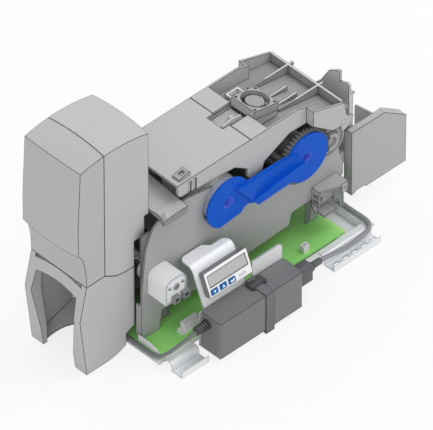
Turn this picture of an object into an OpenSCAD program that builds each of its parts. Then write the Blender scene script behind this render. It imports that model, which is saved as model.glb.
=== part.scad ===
/* [General] */
// Wall of the moulded covers
wall = 2.5; // [2:0.1:3]
// Thickness of the sheet metal chassis plates
sheet = 2; // [1.6:0.1:2.4]
// Gap between pieces that don't touch
clear = 0.3; // [0.25:0.05:0.4]

/* [Hopper tower] */
// Place of the tower's lower near corner along the printer
tower_x = -208; // [-212:1:-206]
// Width of the tower across the printer
tower_w = 80; // [78:1:84]
// Length of the tower at its top
tower_l = 88; // [86:1:90]
// Height of the top's crown above the table
tower_h = 281; // [270:1:290]
// Place of the seam between hopper door and hopper shell
seam_x = 28; // [26:1:30]
// Height of the seam between upper and lower tower
seam_z = 117.5; // [115:0.5:120]
// How far the door bulges forward at its middle
door_bulge = 3.5; // [2:0.5:5]
// Height of the front panel's lower edge
scoop_z = 164; // [160:1:168]
// Depth of the finger scoop under the front panel
scoop_depth = 10.6; // [9:0.2:11]
// Slope of the hopper floor
floor_tilt = 12; // [10:1:13]
// Largest turn of the hopper door
door_turn = 100; // [60:5:110]

/* [Base] */
// Length of the base pan
pan_l = 300; // [296:1:304]
// Depth of the base pan behind the datum line
pan_back = 86; // [84:1:90]
// Height of the pan's rim above the table
pan_h = 10; // [9:0.5:10.5]
// Thickness of the circuit board
board_t = 1.6; // [1.2:0.2:2]

/* [Chassis] */
// Length of the side plates
plate_l = 280; // [276:1:282]
// Height of the side plates
plate_h = 152; // [150:1:153]
// Place of the side plates' front edge
plate_x = -140; // [-141:1:-139]
// Outer face of the near side plate
near_y = -10; // [-12:0.5:-9]
// Outer face of the far side plate
far_y = 78; // [77:0.5:80]

/* [Lid] */
// Place of the lid's front edge
lid_x = -90; // [-92:1:-88]
// Height of the lid's flat top
lid_z = 187; // [186:0.5:189]
// Place of the lid's hinge along the printer
hinge_x = 130; // [129:0.5:131]
// Height of the lid's hinge
hinge_z = 144; // [143:0.5:145]
// Radius of the hinge pins
hinge_r = 3; // [2.5:0.1:3.2]
// Largest turn of the lid
lid_turn = 65; // [40:5:70]

/* [Ribbon cartridge] */
// Place of the supply spool's axis
supply_x = -27.2; // [-28:0.1:-26.5]
// Height of the supply spool's axis
supply_z = 131.5; // [130.5:0.1:132]
// Place of the take-up spool's axis
takeup_x = 81.6; // [81:0.1:82.5]
// Height of the take-up spool's axis
takeup_z = 124.3; // [123.5:0.1:125]
// Radius of the cartridge's end discs
disc_r = 29; // [27:0.5:30]
// Radius of the full ribbon roll
roll_r = 24; // [18:0.5:25]
// Teeth of the take-up gear
gear_teeth = 44; // [36:1:52]
// Outer radius of the take-up gear
gear_r = 33; // [31:0.5:33.5]
// Travel of the cartridge when it is pulled out
cartridge_travel = 85; // [60:5:95]

/* [Transport] */
// Height of the card path
path_z = 97; // [96:0.5:98]
// Radius of the driven rollers
roller_r = 8; // [7:0.25:8.5]
// Radius of the rollers' shafts
shaft_r = 3; // [2.5:0.1:3.2]
// Radius of the pinch rollers
pinch_r = 5; // [4:0.25:5.5]

/* [Power supply] */
// Length of the power supply
brick_l = 114; // [108:1:118]
// Width of the power supply
brick_w = 28.7; // [26:0.1:30]
// Height of the power supply
brick_h = 46; // [42:1:48]

/* [Display] */
// Length of the display module
panel_l = 59; // [56:1:62]
// Height of the display module
panel_h = 28; // [27:0.5:30]
// Backward tilt of the display
panel_tilt = 22.6; // [18:0.2:26]
// Travel of the display's buttons
button_travel = 0.8; // [0.5:0.1:0.8]

/* [Rear cover] */
// Place of the rear cover's front end
cover_x = 152; // [151:0.5:153]
// Length of the rear cover
cover_l = 77; // [72:1:82]
// Height of the rear cover's top edge
cover_z = 108; // [106:1:112]

/* [Hidden] */

// Overrun of every cut
over = 1;
// Facets of round forms
round_fn = 72;
// Gap of a running fit, on the radius
run = 0.05;

function share(size, part) = size * part;
function scaled(points, length, height) =
  [for (p = points) [share(length, p[0]), share(height, p[1])]];

// A flat outline in length and height, thickened from y0 to y1 across the printer
module across(y0, y1) {
  translate([0, y1, 0]) rotate([90, 0, 0]) linear_extrude(height = y1 - y0) children();
}

// A shaft or bore along the printer's width from y0 to y1
module axle(x, z, r, y0, y1) {
  translate([x, y0, z]) rotate([-90, 0, 0]) cylinder(r = r, h = y1 - y0, $fn = round_fn);
}

module box(low, high) {
  translate(low) cube(high - low);
}

// Hopper tower: the upper half's common outer form, moved in by inset for its inside
tower_lean = 3;
crown_w = 4;
crown_r = 180;
crown_x = share(tower_l, 0.43);
top_near_z = tower_h - crown_w;
bulge_r = (pow(tower_w / 2, 2) + pow(door_bulge, 2)) / (2 * door_bulge);
crown_w_r = (pow(tower_w / 2, 2) + pow(crown_w, 2)) / (2 * crown_w);
panel_x = -7.6;
lean_z = 200;
module tower_crown(inset) {
  translate([tower_x + crown_x, inset, tower_h - crown_w - crown_r]) {
    rotate([-90, 0, 0]) {
      rotate_extrude($fn = 180) {
        intersection() {
          square([crown_r + crown_w, tower_w - 2 * inset]);
          translate([crown_r + crown_w - crown_w_r - inset, tower_w / 2 - inset]) {
            circle(r = crown_w_r, $fn = 180);
          }
        }
      }
    }
  }
}
module tower_front(inset) {
  front_x = tower_x + panel_x - door_bulge + bulge_r;
  translate([front_x, tower_w / 2, 0]) cylinder(r = bulge_r - inset, h = tower_h, $fn = 180);
}
module tower_form(inset) {
  front_x = tower_x + panel_x - door_bulge;
  intersection() {
    children();
    tower_crown(inset);
    tower_front(inset);
    translate([front_x, tower_w / 2, lean_z]) {
      rotate([0, tower_lean, 0]) {
        translate([bulge_r, 0, -tower_h]) {
          cylinder(r = bulge_r - inset, h = 2 * tower_h, $fn = 180);
        }
      }
    }
  }
}

// Hopper door with its finger scoop and the knuckle of its hinge
seam_gap = 0.3;
front_edge = 3;
scoop_steps = 10;
knuckle_r = 3;
pin_r = 1.2;
pin_y = tower_w + 1.5;
knuckle_l = 24;
knuckle_low_share = 0.18;
knuckle_pitch_share = 0.43;
knuckle_z = seam_z + (tower_h - seam_z) * knuckle_low_share;
knuckle_pitch = (tower_h - seam_z) * knuckle_pitch_share;
function scoop(inset) = [
  for (i = [0:scoop_steps])
    let (a = 90 * i / scoop_steps)
    [
      tower_x + front_edge - scoop_depth + scoop_depth * sin(a) + inset,
      scoop_z - (scoop_z - seam_z) * (1 - cos(a)) + (i == 0 ? inset : 0)
    ]
];
function door_outline(inset) = concat(
  [
    [tower_x + panel_x - 2 * door_bulge, tower_h + over],
    [tower_x + panel_x - 2 * door_bulge, scoop_z + inset]
  ],
  [for (p = scoop(inset)) [p[0], max(p[1], seam_z + inset)]],
  [
    [tower_x + seam_x - seam_gap / 2 + (inset > 0 ? over : 0), seam_z + inset],
    [tower_x + seam_x - seam_gap / 2 + (inset > 0 ? over : 0), tower_h + over]
  ]
);
module knuckle(z, l) {
  translate([tower_x + seam_x, pin_y, z]) cylinder(r = knuckle_r, h = l, $fn = 36);
}
module knuckle_room(z, l) {
  translate([tower_x + seam_x, pin_y, z - clear]) {
    cylinder(r = knuckle_r + clear, h = l + 2 * clear, $fn = 36);
  }
}
module pin_bore() {
  translate([tower_x + seam_x, pin_y, 0]) cylinder(r = pin_r + run, h = tower_h, $fn = 36);
}
// The door carries the two middle knuckles and the shell the ones above and below each
module hopper_door() {
  color("#acacac") difference() {
    union() {
      difference() {
        tower_form(0) across(0, tower_w) polygon(door_outline(0));
        tower_form(wall) across(wall, tower_w - wall) polygon(door_outline(wall));
        for (z = [knuckle_z, knuckle_z + knuckle_pitch]) knuckle_room(z - knuckle_l, knuckle_l);
      }
      for (z = [knuckle_z, knuckle_z + knuckle_pitch]) knuckle(z, knuckle_l);
    }
    pin_bore();
  }
}

// Hopper shell: the tower's rear half, open below and at its lower rear, where the feed is
throat_l = 82;
leg_l = 68;
leg_z = 139;
dip_z = seam_z - 11.5;
function shell_outline() = [
  [tower_x + seam_x + seam_gap / 2, seam_z],
  [tower_x + seam_x + (leg_l - seam_x) * 0.2, seam_z - (seam_z - dip_z) * 0.42],
  [tower_x + seam_x + (leg_l - seam_x) * 0.4, seam_z - (seam_z - dip_z) * 0.82],
  [tower_x + seam_x + (leg_l - seam_x) * 0.7, dip_z],
  [tower_x + leg_l, dip_z],
  [tower_x + leg_l, leg_z],
  [tower_x + throat_l, leg_z],
  [tower_x + throat_l, scoop_z],
  [tower_x + tower_l, scoop_z],
  [tower_x + tower_l, tower_h + over],
  [tower_x + seam_x + seam_gap / 2, tower_h + over]
];
weight_slot_w = 8;
weight_slot_z = 178;
weight_slot_top = 262;
module hopper_shell() {
  color("#b2b2b2") difference() {
    union() {
      difference() {
        tower_form(0) across(0, tower_w) polygon(shell_outline());
        tower_form(wall) {
          box([tower_x + seam_x - over, wall, 0], [tower_x + tower_l - wall, tower_w - wall, tower_h]);
        }
        box(
          [tower_x + seam_x, wall, dip_z - over],
          [tower_x + tower_l + over, tower_w - wall, scoop_z]
        );
        box(
          [tower_x + throat_l, tower_w / 2 - weight_slot_w / 2, weight_slot_z],
          [tower_x + tower_l + over, tower_w / 2 + weight_slot_w / 2, weight_slot_top]
        );
        for (z = [knuckle_z, knuckle_z + knuckle_pitch]) knuckle_room(z, knuckle_l);
      }
      for (z = [knuckle_z, knuckle_z + knuckle_pitch]) {
        knuckle(z - knuckle_l + clear, knuckle_l - 2 * clear);
      }
    }
    pin_bore();
  }
}
module door_hinge_pin() {
  color("silver") translate([tower_x + seam_x, pin_y, knuckle_z - knuckle_l]) {
    cylinder(r = pin_r, h = knuckle_pitch + 2 * knuckle_l, $fn = 36);
  }
}

// Hopper floor: a sloping plate on ledges, with a window for the pick roller
floor_t = 3;
floor_front = 7;
floor_l = 76;
floor_front_z = seam_z + 10.3;
pick_r = 9;
pick_w = 30;
pick_at = 58;
pick_shaft_r = 2.5;
pick_lift = 0.6;
lug_t = 4;
lug_r = 6;
module on_floor() {
  translate([tower_x + floor_front, 0, floor_front_z]) rotate([0, floor_tilt, 0]) children();
}
module hopper_floor() {
  color("#8c8c8c") on_floor() difference() {
    union() {
      box([0, wall + clear, -floor_t], [floor_l, min(tower_w - wall, far_in) - clear, 0]);
      for (y = [tower_w / 2 - pick_w / 2 - lug_t - 2, tower_w / 2 + pick_w / 2 + 2]) {
        hanger = -pick_r + pick_lift;
        box([pick_at - lug_r, y, hanger], [pick_at + lug_r, y + lug_t, 0]);
        axle(pick_at, hanger, lug_r, y, y + lug_t);
      }
    }
    box(
      [pick_at - pick_r - over, tower_w / 2 - pick_w / 2 - over, -floor_t - over],
      [pick_at + pick_r + over, tower_w / 2 + pick_w / 2 + over, over]
    );
    axle(pick_at, -pick_r + pick_lift, pick_shaft_r + run, 0, tower_w);
  }
}
module pick_roller() {
  hanger = -pick_r + pick_lift;
  half = pick_w / 2 + lug_t + 4;
  color("#3a3a3a") on_floor() {
    axle(pick_at, hanger, pick_r, tower_w / 2 - pick_w / 2, tower_w / 2 + pick_w / 2);
    axle(pick_at, hanger, pick_shaft_r, tower_w / 2 - half, tower_w / 2 + half);
  }
}

// Card weight: a ribbed plate that follows the stack down, with a knob through the rear slot
weight_l = 78;
weight_w = 52;
weight_t = 6;
weight_z = weight_slot_z + clear;
module card_weight() {
  back = tower_x + tower_l - wall - clear;
  near = tower_w / 2 - weight_w / 2;
  neck = weight_slot_w / 2 - clear;
  color("#7c7c7c") {
    difference() {
      box([back - weight_l, near, weight_z], [back, near + weight_w, weight_z + weight_t]);
      for (i = [0:2]) {
        x = back - weight_l * (0.9 - 0.28 * i);
        box(
          [x, near + 4, weight_z + 2],
          [x + weight_l * 0.22, near + weight_w - 4, weight_z + weight_t + over]
        );
      }
    }
    box(
      [back, tower_w / 2 - neck, weight_z],
      [tower_x + tower_l + clear, tower_w / 2 + neck, weight_z + weight_t]
    );
    translate([tower_x + tower_l + clear, tower_w / 2, weight_z + weight_t / 2]) {
      rotate([0, 90, 0]) cylinder(r = weight_slot_w * 0.9, h = 3, $fn = 36);
    }
  }
}

// Output hopper: the lower tower with its front mouth, open below
toe_l = 56.5;
toe_z = 24;
kink_x = -6.4;
kink_z = 75;
chin_x = 2.2;
mouth_low_w = 46;
mouth_mid_w = 62;
mouth_top_w = 57;
mouth_mid_z = 72;
mouth_top_z = 99;
mouth_crown = 4;
bar_crown = 3.8;
exit_low_z = path_z - 8;
exit_top_z = path_z + 8;
toe_rise = 7;
slot_steps = 8;
function output_outline() = concat(
  [
    [tower_x + chin_x, 0],
    [tower_x + kink_x, kink_z],
    [tower_x + front_edge, seam_z - seam_gap],
    [tower_x + seam_x, seam_z - seam_gap],
    [tower_x + seam_x + (leg_l - seam_x) * 0.2, seam_z - seam_gap - (seam_z - dip_z) * 0.42],
    [tower_x + seam_x + (leg_l - seam_x) * 0.4, seam_z - seam_gap - (seam_z - dip_z) * 0.82],
    [tower_x + seam_x + (leg_l - seam_x) * 0.7, dip_z - seam_gap],
    [tower_x + leg_l, dip_z - seam_gap],
    [tower_x + leg_l, toe_z + 3],
    [tower_x + toe_l, toe_z - 2]
  ],
  [
    for (i = [0:slot_steps])
      let (s = i / slot_steps)
      [tower_x + toe_l - (toe_l - seam_x) * s, toe_rise * pow(1 - s, 2)]
  ]
);
function mouth_outline() = concat(
  [
    [tower_w / 2 - mouth_low_w / 2, -over],
    [tower_w / 2 - mouth_low_w / 2, mouth_mid_z * 0.3],
    [tower_w / 2 - mouth_mid_w / 2, mouth_mid_z]
  ],
  [
    for (i = [0:slot_steps])
      let (s = 2 * i / slot_steps - 1)
      [tower_w / 2 + s * mouth_top_w / 2, mouth_top_z + mouth_crown * (1 - s * s)]
  ],
  [
    [tower_w / 2 + mouth_mid_w / 2, mouth_mid_z],
    [tower_w / 2 + mouth_low_w / 2, mouth_mid_z * 0.3],
    [tower_w / 2 + mouth_low_w / 2, -over]
  ]
);
slot_w = 66;
slot_drop = 4.5;
module output_hopper() {
  inner_x = tower_x + front_edge + wall + 2;
  color("#b4b4b4") difference() {
    across(0, tower_w) polygon(output_outline());
    box(
      [inner_x, wall, -over],
      [tower_x + leg_l - wall, tower_w - wall, seam_z + over]
    );
    translate([tower_x + kink_x - over, 0, 0]) {
      rotate([90, 0, 90]) {
        linear_extrude(height = inner_x - tower_x - kink_x + 2 * over) polygon(mouth_outline());
      }
    }
    translate([tower_x - scoop_depth, 0, seam_z]) {
      rotate([90, 0, 90]) {
        linear_extrude(height = inner_x - tower_x + scoop_depth + over) {
          polygon(concat(
            [[tower_w / 2 - slot_w / 2, over], [tower_w / 2 + slot_w / 2, over]],
            [
              for (i = [0:slot_steps])
                let (s = 1 - 2 * i / slot_steps)
                [tower_w / 2 + s * slot_w / 2, -slot_drop + bar_crown * (1 - s * s)]
            ]
          ));
        }
      }
    }
    box(
      [tower_x + leg_l - wall - over, wall, exit_low_z],
      [tower_x + leg_l + over, tower_w - wall, seam_z + over]
    );
  }
}

// Output tray: a sloping floor with an arched thumb cut-out at its front
tray_t = 2;
tray_front = 8;
tray_rise = 18.4;
thumb_w = 50;
thumb_l = 36;
module output_tray() {
  tray_l = (leg_l - wall - clear - tray_front) / cos(tray_rise) - tray_t;
  color("#808080") translate([tower_x + tray_front, 0, tray_t * 1.2]) {
    rotate([0, -tray_rise, 0]) difference() {
      box([0, wall + clear, -tray_t / 2], [tray_l, tower_w - wall - clear, tray_t / 2]);
      translate([0, tower_w / 2, -tray_t]) {
        scale([thumb_l / thumb_w * 2, 1, 1]) cylinder(r = thumb_w / 2, h = 2 * tray_t, $fn = 64);
      }
    }
  }
}

// Base pan: a pressed tray with an outward rim, posts for the board and two near rails
pan_t = 1.4;
pan_near = -37;
rim_w = 9;
post_r = 3;
rail_start = -141;
rail_l = 37;
rear_rail_start = 78;
rear_rail_l = 66;
rail_edge = -69.6;
rail_drop = -55.6;
rail_crown = 1;
lip_h = 7.8;
shoulder_r = 5;
rear_rail_shift = 8;
slot_l = 7;
slot_width = 3.4;
rail_slots = 5;
board_front = -144;
board_l = 264;
board_near = -42;
board_near_rear = -35;
board_step = 190;
board_back = 76;
board_z = pan_h + 0.4;
board_top = board_z + board_t;
function rail_section(drop, edge) = concat(
  [[pan_near, pan_h], [drop + shoulder_r, pan_h + rail_crown]],
  [
    for (i = [1:5])
      let (a = 18 * i)
      [
        drop + shoulder_r - shoulder_r * sin(a),
        pan_h + rail_crown - shoulder_r * (1 - cos(a))
      ]
  ],
  [
    [drop, pan_t],
    [edge + pan_t, pan_t],
    [edge + pan_t, lip_h - pan_t / 2],
    [edge + pan_t / 2, lip_h],
    [edge, lip_h - pan_t / 2],
    [edge, 0],
    [drop + pan_t, 0],
    [drop + pan_t, pan_h + rail_crown - shoulder_r]
  ],
  [
    for (i = [4:-1:1])
      let (a = 18 * i)
      [
        drop + shoulder_r - (shoulder_r - pan_t) * sin(a),
        pan_h + rail_crown - shoulder_r + (shoulder_r - pan_t) * cos(a)
      ]
  ],
  [[drop + shoulder_r, pan_h + rail_crown - pan_t], [pan_near, pan_h - pan_t]]
);
module rail(start, length, shift) {
  difference() {
    translate([start, 0, 0]) rotate([90, 0, 90]) linear_extrude(height = length) {
      polygon(rail_section(rail_drop + shift, rail_edge + shift));
    }
    if (length > rail_l) {
      for (i = [0:rail_slots - 1]) {
        x = start + length * (i + 0.7) / rail_slots;
        y = (rail_drop + rail_edge) / 2 + shift;
        box([x - slot_l / 2, y - slot_width / 2, -over], [x + slot_l / 2, y + slot_width / 2, pan_t + over]);
      }
    }
  }
}
module base_pan() {
  half = pan_l / 2;
  color("#e6e7e9") {
    difference() {
      box([-half, pan_near - rim_w, 0], [half, pan_back, pan_h]);
      box(
        [-half + rim_w, pan_near + pan_t, pan_t],
        [half - rim_w, pan_back - rim_w, pan_h + over]
      );
      for (side = [-1, 1]) {
        x = side * (half - rim_w / 2 + pan_t / 2 + over / 2);
        w = (rim_w - pan_t + over) / 2;
        box([x - w, pan_near - rim_w - over, -over], [x + w, pan_back + over, pan_h - pan_t]);
      }
      box(
        [-half - over, pan_near - rim_w - over, -over],
        [half + over, pan_near, pan_h - pan_t]
      );
      box(
        [-half - over, pan_back - rim_w + pan_t, -over],
        [half + over, pan_back + over, pan_h - pan_t]
      );
    }
    for (x = [board_front + rim_w, board_front + board_l / 2, board_front + board_l - rim_w]) {
      for (y = [pan_near + rim_w, board_back - 2 * rim_w]) {
        translate([x, y, pan_t]) cylinder(r = post_r, h = board_z - pan_t, $fn = 36);
      }
    }
    rail(rail_start, rail_l, 0);
    rail(rear_rail_start, rear_rail_l, rear_rail_shift);
  }
}
module main_board() {
  color("#70b256") translate([board_front, 0, board_z]) linear_extrude(height = board_t) {
    polygon([
      [0, board_near],
      [board_step, board_near],
      [board_step, board_near_rear],
      [board_l, board_near_rear],
      [board_l, board_back],
      [0, board_back]
    ]);
  }
}

// Plugs and sockets on the board, and the white guard along its front edge
header_x = -101;
header_y = -34;
socket_x = 66;
socket_y = -30;
guard_l = 30;
dc_socket_x = -143;
dc_socket_y = 30;
module board_connectors() {
  color("#dcdcdc") {
    box([header_x, header_y, board_top], [header_x + 20, header_y + 9, board_top + 7]);
    box([header_x, header_y + 2, board_top + 7], [header_x + 20, header_y + 9, board_top + 11]);
    box([header_x - 5, header_y, board_top], [header_x, header_y + 9, board_top + 4]);
    box([dc_socket_x, dc_socket_y, board_top], [dc_socket_x + 8, dc_socket_y + 12, board_top + 8]);
    difference() {
      box([socket_x, socket_y, board_top], [socket_x + 8, socket_y + 6, board_top + 8]);
      box([socket_x + 2, socket_y + 2, board_top + 4], [socket_x + 6, socket_y + 4, board_top + 8 + over]);
    }
    translate([board_front + 1, board_near + 4, board_top]) rotate([90, 0, 90]) {
      linear_extrude(height = 1.5) {
        intersection() {
          square([guard_l, 8]);
          translate([guard_l, 0]) scale([guard_l / 9, 1]) circle(r = 9, $fn = 64);
        }
      }
    }
  }
}

// Side plates: outline shares run from front to rear and from the board upwards
near_in = near_y + sheet;
far_in = far_y - sheet;
flange_w = 8;
ear_r = 9;
bay_gap = 3;
roller_z = path_z - roller_r;
motor_x = -117.5;
motor_z = 87;
feed_x = -80;
platen_x = 20;
transport_x = 68;
exit_x = 114;
roller_places = [feed_x, platen_x, transport_x, exit_x];
card_t = 0.8;
pinch_z = path_z + card_t + pinch_r;
pinch_shaft_r = 2;
pinch_places = [feed_x, transport_x, exit_x];
bearing_r = 6;
beam_l = 12;
beam_x = 122;
beam_z = 62;
beam_h = 16;
plate_shares = [
  [0.00, 0.30], [0.00, 0.025], [0.014, 0.00], [0.09, 0.00], [0.10, 0.155], [0.28, 0.135],
  [0.535, 0.16], [0.73, 0.175], [0.743, 0.27], [0.82, 0.275], [0.935, 0.275], [0.98, 0.315],
  [1.00, 0.325], [1.00, 0.445], [0.98, 0.535], [0.975, 0.73], [0.97, 0.80], [0.36, 0.80],
  [0.355, 0.89], [0.35, 0.96], [0.215, 0.997], [0.085, 0.955], [0.06, 0.92], [0.043, 0.86],
  [0.023, 0.773], [0.013, 0.60], [0.005, 0.43]
];
module plate_outline() {
  translate([plate_x, board_top]) polygon(scaled(plate_shares, plate_l, plate_h));
  translate([hinge_x, hinge_z]) circle(r = ear_r, $fn = round_fn);
  translate([hinge_x - ear_r, hinge_z - 2.5 * ear_r]) square([2 * ear_r, 2.5 * ear_r]);
}
module bearings(y0, y1) {
  for (x = roller_places) axle(x, roller_z, bearing_r, y0, y1);
  for (x = pinch_places) axle(x, pinch_z, bearing_r * 0.75, y0, y1);
}
module bearing_bores(y0, y1) {
  for (x = roller_places) axle(x, roller_z, shaft_r + run, y0, y1);
  for (x = pinch_places) axle(x, pinch_z, pinch_shaft_r + run, y0, y1);
}
foot_x = 98;
foot_l = 16;
foot_back = 2;
foot_top_share = 0.275;
motor_hole_r = 13;
bearing_l = 3;
module near_side_plate() {
  foot_z = board_top + share(plate_h, foot_top_share);
  color("#9f9f9f") difference() {
    union() {
      across(near_y, near_in) plate_outline();
      translate([plate_x, 0, board_top]) {
        box([0, near_y, share(plate_h, 0.025)], [sheet, near_y + flange_w, share(plate_h, 0.30)]);
      }
      bearings(near_in, near_in + bearing_l);
      box([foot_x, near_y, foot_z - sheet], [foot_x + foot_l, foot_back, foot_z + sheet]);
      box([foot_x, foot_back - sheet, board_top], [foot_x + foot_l, foot_back, foot_z]);
      translate([foot_x, 0, 0]) rotate([90, 0, 90]) linear_extrude(height = sheet) polygon([
        [near_y + sheet, foot_z],
        [foot_back, foot_z],
        [foot_back, board_top],
        [near_y + foot_back + 3, board_top + foot_l / 2]
      ]);
    }
    axle(supply_x, supply_z, roll_r + bay_gap, near_y - over, near_in + over);
    axle(takeup_x, takeup_z, takeup_roll_r + bay_gap, near_y - over, near_in + over);
    box(
      [supply_x - roll_r + 14, near_y - over, supply_z],
      [supply_x + roll_r + bay_gap, near_in + over, supply_z + plate_h]
    );
    bearing_bores(near_in, near_in + bearing_l + over);
    axle(hinge_x, hinge_z, hinge_r + run, near_y - over, near_in + over);
    axle(motor_x, motor_z, motor_hole_r, near_y - over, near_in + over);
  }
}
skirt_in = 10;
skirt_end = 120;
skirt_top = 60;
module far_side_plate() {
  color("#979797") difference() {
    across(far_in, far_y) plate_outline();
    box(
      [plate_x - over, far_in - over, leg_z - 3],
      [tower_x + tower_l + 3, far_y + over, lid_z]
    );
    bearing_bores(far_in - over, far_y + over);
    axle(hinge_x, hinge_z, hinge_r + run, far_in - over, far_y + over);
    axle(motor_x, motor_z, shaft_r + run, far_in - over, far_y + over);
  }
  color("#979797") box([plate_x + skirt_in, far_in, board_top + clear], [skirt_end, far_y, skirt_top]);
  color("#979797") for (place = [[supply_x, supply_z], [takeup_x, takeup_z]]) {
    axle(place[0], place[1], hub_r - clear, far_in - hub_l, far_in);
  }
}

// Dark cross frame behind the tower, with a window for the cards
frame_x = -102;
frame_low = 20;
frame_top = 148;
window_low = 84;
window_top = 116;
window_side = 10;
arm_near = 12;
arm_far = 62;
arm_w = 4;
arm_z = 58;
arm_h = 10;
cheek_y = near_in + clear;
module front_frame() {
  color("#555555") {
    difference() {
      box([frame_x, near_in, frame_low], [frame_x + sheet, far_in, frame_top]);
      box(
        [frame_x - over, near_in + window_side, window_low],
        [frame_x + sheet + over, far_in - window_side, window_top]
      );
    }
    box([frame_x, near_in, frame_top], [frame_x + 16, far_in, frame_top + sheet]);
    difference() {
      box([plate_x + sheet + clear, cheek_y, frame_low], [frame_x + sheet, cheek_y + sheet, frame_top]);
      axle(motor_x, motor_z, motor_hole_r + clear, cheek_y - over, cheek_y + sheet + over);
    }
    for (y = [arm_near, arm_far]) {
      box([tower_x + leg_l, y, arm_z], [frame_x, y + arm_w, arm_z + arm_h]);
    }
  }
}
back_top = 134;
module rear_beam() {
  color("#8a8a8a") difference() {
    box([beam_x, near_in, beam_z], [beam_x + beam_l, far_in, beam_z + beam_h]);
    box(
      [beam_x + sheet, near_in + sheet, beam_z + sheet],
      [beam_x + beam_l - sheet, far_in - sheet, beam_z + beam_h + over]
    );
  }
  color("#8a8a8a") box([beam_x + beam_l - sheet, near_in, beam_z], [beam_x + beam_l, far_in, back_top]);
}

// Front guide: the shelf over the gap between tower and chassis
guide_x = tower_x + tower_l + 2;
guide_l = 33;
guide_z = 165;
guide_near = -20;
guide_back = 37;
guide_rise = 7;
guide_drop = 9;
guide_t = 2.5;
guide_curve = 12;
module front_guide() {
  run_w = guide_back - guide_near;
  tilt = atan(guide_rise / run_w);
  color("#a8a8a8") translate([guide_x, guide_near, guide_z]) rotate([tilt, 0, 0]) difference() {
    union() {
      box([0, 0, -guide_t], [guide_l, run_w, 0]);
      box([guide_curve, 0, -guide_drop], [guide_l, guide_t, 0]);
      intersection() {
        translate([0, 0, -guide_t]) rotate([90, 0, 0]) mirror([0, 0, 1]) {
          linear_extrude(height = guide_t) polygon(concat(
            [[0, guide_t], [guide_curve + over, guide_t], [guide_curve + over, guide_t - guide_drop]],
            [
              for (i = [0:8])
                let (s = 1 - i / 8)
                [guide_curve * s, -(guide_drop - guide_t) * (0.5 - 0.5 * cos(180 * s))]
            ]
          ));
        }
        box([0, 0, -guide_drop - over], [guide_l, run_w, 0]);
      }
      box([guide_l - guide_t, 0, -guide_drop], [guide_l, near_y - guide_near - 1, 0]);
    }
    translate([guide_curve * 0.75, -over, guide_t * 0.2]) rotate([-87, 0, 0]) {
      cylinder(r1 = 5, r2 = 0.5, h = run_w * 0.5, $fn = 48);
    }
  }
}

// Card rails: two channels that guide the card's edges
card_w = 54;
rail_y = 34;
lane_t = 2;
lane_h = 6;
lane_front = frame_x + sheet + 1;
lane_back = 116;
module card_rails() {
  color("#bdbdbd") for (side = [-1, 1]) {
    edge = rail_y + side * (card_w / 2 + 0.7);
    low = min(edge, edge + side * lane_t);
    for (span = [[lane_front, platen_x - 16], [platen_x + 16, lane_back]]) {
      box([span[0], low, path_z - lane_h / 2], [span[1], low + lane_t, path_z + lane_h / 2]);
    }
    for (x = [lane_front + 28, lane_back - 30]) {
      near = side < 0 ? near_in : low + lane_t;
      far = side < 0 ? low : far_in;
      box([x, near, path_z - lane_h / 2], [x + 8, far, path_z - lane_h / 2 + lane_t]);
    }
  }
}

// Screws through the side plates into the cross members
screw_r = 3;
screw_h = 1.6;
module screw_head(x, z, y, out) {
  translate([x, y, z]) rotate([out < 0 ? 90 : -90, 0, 0]) difference() {
    cylinder(r = screw_r, h = screw_h, $fn = 36);
    translate([0, 0, screw_h / 2]) cylinder(r = screw_r * 0.45, h = screw_h, $fn = 6);
  }
}
module chassis_screws() {
  color("#c8c8c8") {
    for (z = [beam_z + 4, beam_z + beam_h - 4]) {
      screw_head(beam_x + beam_l / 2, z, far_y, 1);
    }
    screw_head(frame_x + 5, frame_top + sheet / 2, far_y, 1);
    screw_head(plate_x + 12, board_top + 12, far_y, 1);
  }
}

// Transport motor: a D-shaped can through the near plate, with its plug pins below
motor_r = 13;
motor_l = 27;
motor_back = 7;
motor_flat = 11;
motor_drop = 3;
module motor_outline(r) {
  intersection() {
    union() {
      circle(r = r, $fn = round_fn);
      translate([-r, -r - motor_drop]) square([2 * r, r + motor_drop]);
    }
    translate([-r, -r - motor_drop]) square([2 * r, 2 * r + 2 * motor_drop]);
  }
}
module transport_motor() {
  front = near_y - motor_l;
  color("#dfe0e2") {
    translate([motor_x, near_y, motor_z]) rotate([90, 0, 0]) {
      linear_extrude(height = motor_l) motor_outline(motor_r + 1);
    }
    difference() {
      axle(motor_x, motor_z, motor_r - clear, near_y - over, motor_back);
      axle(motor_x, motor_z, shaft_r + run, motor_back - 4, motor_back + over);
    }
  }
  color("#4a4a4c") for (i = [0:1]) {
    x = motor_x + 6 - 13 * i;
    z = motor_z - motor_r - motor_drop + 2;
    difference() {
      box([x, front - 5, z - 2], [x + 8, front, z + 6]);
      box([x + 2, front - 5 - over, z], [x + 6, front - 2, z + 4]);
    }
  }
}

// Driven rollers, their pulleys beyond the far plate and the belts round them
pulley_r = 7;
pulley_lip = 1;
pulley_flange = 0.6;
belt_gap = 0.25;
belt_t = 1.2;
belt_w = 5;
shaft_gap = 0.4;
first_y = far_y + 1;
second_y = first_y + belt_w + 2;
shaft_end = second_y + belt_w + 1.5;
module pulley(x, z, y) {
  axle(x, z, pulley_r, y, y + belt_w);
  axle(x, z, pulley_r + belt_t + pulley_lip, y - pulley_flange, y);
  axle(x, z, pulley_r + belt_t + pulley_lip, y + belt_w, y + belt_w + pulley_flange);
}
module drive_shaft() {
  color("#b9b9bb") {
    axle(motor_x, motor_z, shaft_r, motor_back - 4 + shaft_gap, second_y - 1);
    pulley(motor_x, motor_z, first_y);
  }
}
module driven_roller(x, rubber_near, rubber_far) {
  color("#b9b9bb") axle(x, roller_z, shaft_r, near_in + shaft_gap, shaft_end);
  color("#2f2f31") axle(x, roller_z, roller_r, rubber_near, rubber_far);
  color("#b9b9bb") pulley(x, roller_z, second_y);
}
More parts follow.
